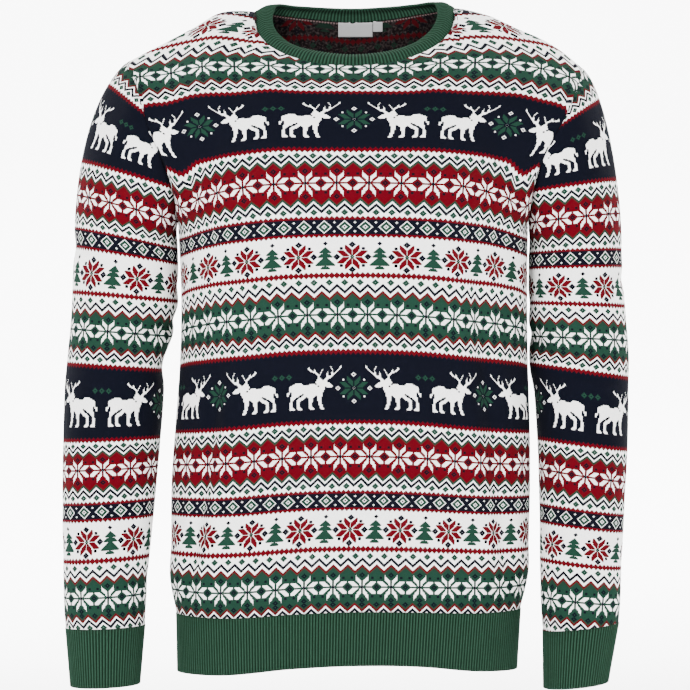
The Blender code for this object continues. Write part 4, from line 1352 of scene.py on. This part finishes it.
def knit_material(name, inside):
    """Stranded knitting in four yarns; its inside shows the same bands, dulled by the yarns floated
    behind them and darkened further by painted shade.

    The coloured yarns are plumper than the white, so they spread over its stitches' edges.
    """
    made, tree, shader = new_material(name, **WOOL)
    stitch, row = stitch_count(tree)
    relief = place_group(tree, STITCHES, stitch, row).outputs["Height"]
    colour, white = yarn_colour(tree, stitch, row)
    beside, beside_white = yarn_colour(tree, toward_neighbour(tree, stitch), row)
    above, _ = yarn_colour(tree, stitch, toward_neighbour(tree, row))
    colour = mixed(tree, white, colour, mixed(tree, beside_white, beside, above))
    colour = shaded(tree, 0.5, colour, wool_noise(tree, 900.0), 0.6, 1.4)
    # painted shade between the stitches' legs and a little painted light on their tops, from the
    # relief's height
    colour = shaded(tree, 0.8, colour, relief, 0.55, 1.08)
    if inside:
        # the inside: floated yarns and painted shade darken the pattern, its white stitches most
        floats_in_painted_shade = mixed(tree, ramped(tree, wool_noise(tree, 420.0), -1.2, 1.6), *FLOATS_IN_PAINTED_SHADE)
        colour = mixed(tree, white, mixed(tree, 0.6, colour, FLOATS_IN_PAINTED_SHADE[0]), floats_in_painted_shade)
    tree.links.new(colour, shader.inputs["Base Color"])
    bumped(tree, shader, relief, strength=0.5, distance=0.0005)
    return made


def rib_material():
    """Green ribbing: heathered yarn with stitches up each rib, painted shade in the furrows and
    painted light on the crests.
    """
    made, tree, shader = new_material("Green rib", **WOOL)
    stitch, row = stitch_count(tree)
    relief = place_group(tree, STITCHES, stitch, row).outputs["Height"]
    colour = shaded(tree, 0.7, YARNS["rib"], wool_noise(tree, 700.0), 0.5, 1.5)
    # painted shade in the furrows between the ribs and painted light on their crests
    crest_light_and_furrow_shade = Count(tree, stitch).do("PINGPONG", 0.5).socket
    colour = shaded(tree, 0.85, colour, crest_light_and_furrow_shade, 1.9, -1.9)
    tree.links.new(colour, shader.inputs["Base Color"])
    bumped(tree, shader, relief, strength=0.4, distance=0.0004)
    return made


def label_material():
    """Pale grey woven tape, blank."""
    made, tree, shader = new_material("Grey label tape", 0.7)
    colour = shaded(tree, 1.0, LABEL_TAPE, wool_noise(tree, 1500.0), 0.92, 1.05)
    tree.links.new(colour, shader.inputs["Base Color"])
    return made


def sewing_material():
    """Chain stitches of pale pink thread on the dark edge they hold."""
    made, tree, shader = new_material("Neck sewing thread", 0.85)
    thread = Count(tree, stitch_count(tree)[0]).do("PINGPONG", 0.5).over(THREAD_FROM).socket
    colour = mixed(tree, thread, SEWING_EDGE, SEWING_THREAD)
    tree.links.new(colour, shader.inputs["Base Color"])
    return made


# ---------------------------------------------------------------- the scene
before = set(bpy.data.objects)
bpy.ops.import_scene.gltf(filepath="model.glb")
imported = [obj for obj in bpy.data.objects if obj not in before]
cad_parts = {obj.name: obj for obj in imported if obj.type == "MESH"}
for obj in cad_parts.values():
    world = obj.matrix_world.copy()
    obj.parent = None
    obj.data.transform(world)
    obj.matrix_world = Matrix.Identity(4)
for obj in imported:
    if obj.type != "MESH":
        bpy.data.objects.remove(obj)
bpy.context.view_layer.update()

CAMERA_PLACE = (-0.00856, -3.2, -0.3638)
PIXEL = 0.00107
IMAGE = 690
SENSOR = 36
camera_data = bpy.data.cameras.new("camera")
camera_data.sensor_width = SENSOR
camera_data.lens = SENSOR * -CAMERA_PLACE[1] / (IMAGE * PIXEL)
camera_data.clip_end = 50
camera = bpy.data.objects.new("camera", camera_data)
camera.location = CAMERA_PLACE
camera.rotation_euler = (np.radians(90), 0, 0)
bpy.context.scene.collection.objects.link(camera)
bpy.context.scene.camera = camera

PATTERN = pattern_group()
STITCHES = stitch_group()
KNIT = knit_material("Fair Isle knit", False)
KNIT_INSIDE = knit_material("Fair Isle knit inside", True)
RIB = rib_material()
LABEL = label_material()
SEWING = sewing_material()

PANELS = {face: panel_sheet(face) for face in FACES}
BACK_INNER = np.zeros_like(PANELS["back"][1])
FRONT, BACK = (make_panel(face) for face in FACES)
LEFT, left_end = make_sleeve("left")
RIGHT, right_end = make_sleeve("right")
LEFT_CUFF = make_cuff("left", left_end)
RIGHT_CUFF = make_cuff("right", right_end)
HEM_BAND = make_hem()
COLLAR = make_collar()
NECK_LABEL, SIZE_TAB = (make_label(name) for name in LABELS)
SEWN = make_neck_sewing()

for piece, cad, slot in (
        (FRONT, "front", "knit"), (BACK, "back", "knit"), (LEFT, "sleeve_left", "knit"),
        (RIGHT, "sleeve_right", "knit"), (LEFT_CUFF, "cuff_left", "rib"),
        (RIGHT_CUFF, "cuff_right", "rib"), (HEM_BAND, "hem_rib", "rib"), (COLLAR, "collar", "rib"),
        (NECK_LABEL, "neck_label", "label"), (SIZE_TAB, "size_tab", "label")):
    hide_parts(cad)
    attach(piece, "root")
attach(SEWN, "root")


# ---------------------------------------------------------------- the studio
FLOOR_HALF = 6.0
FLOOR_ROWS = ((-6.0, -0.80), (1.0, -0.80), (2.0, -0.72), (3.0, -0.45), (3.7, 0.1), (3.95, 5.0))
FLOOR_COLOUR = (0.93, 0.93, 0.93, 1.0)
CHEST = (0, 0, -0.35)
LIGHTS = (
    ("soft key", (-1.3, -3.2, 1.3), CHEST, 1.6, 310),
    ("soft fill", (1.9, -3.0, 0.6), CHEST, 1.8, 135),
    ("backdrop left", (-1.6, 1.3, 1.3), (-0.4, 3.0, -0.6), 1.2, 430),
    ("backdrop right", (1.6, 1.3, 1.3), (0.4, 3.0, -0.6), 1.2, 430),
)


def make_floor():
    """A pale floor that sweeps up into the backdrop."""
    floor = new_grid("floor", np.array([[(x, y, z) for x in (-FLOOR_HALF, 0.0, FLOOR_HALF)]
                                        for y, z in FLOOR_ROWS]))
    pale, _, shader = new_material("pale floor", 0.9)
    shader.inputs["Base Color"].default_value = FLOOR_COLOUR
    finish_piece(floor, pale)


def soft_light(name, place, target, size, power):
    data = bpy.data.lights.new(name, "AREA")
    data.shape = "DISK"
    data.size = size
    data.energy = power
    lamp = bpy.data.objects.new(name, data)
    lamp.location = place
    lamp.rotation_euler = (Vector(target) - Vector(place)).to_track_quat("-Z", "Y").to_euler()
    bpy.context.scene.collection.objects.link(lamp)


make_floor()
for light in LIGHTS:
    soft_light(*light)
world = bpy.data.worlds.new("studio")
world.use_nodes = True
world.node_tree.nodes["Background"].inputs[0].default_value = (1, 1, 1, 1)
world.node_tree.nodes["Background"].inputs[1].default_value = 1.0
bpy.context.scene.world = world
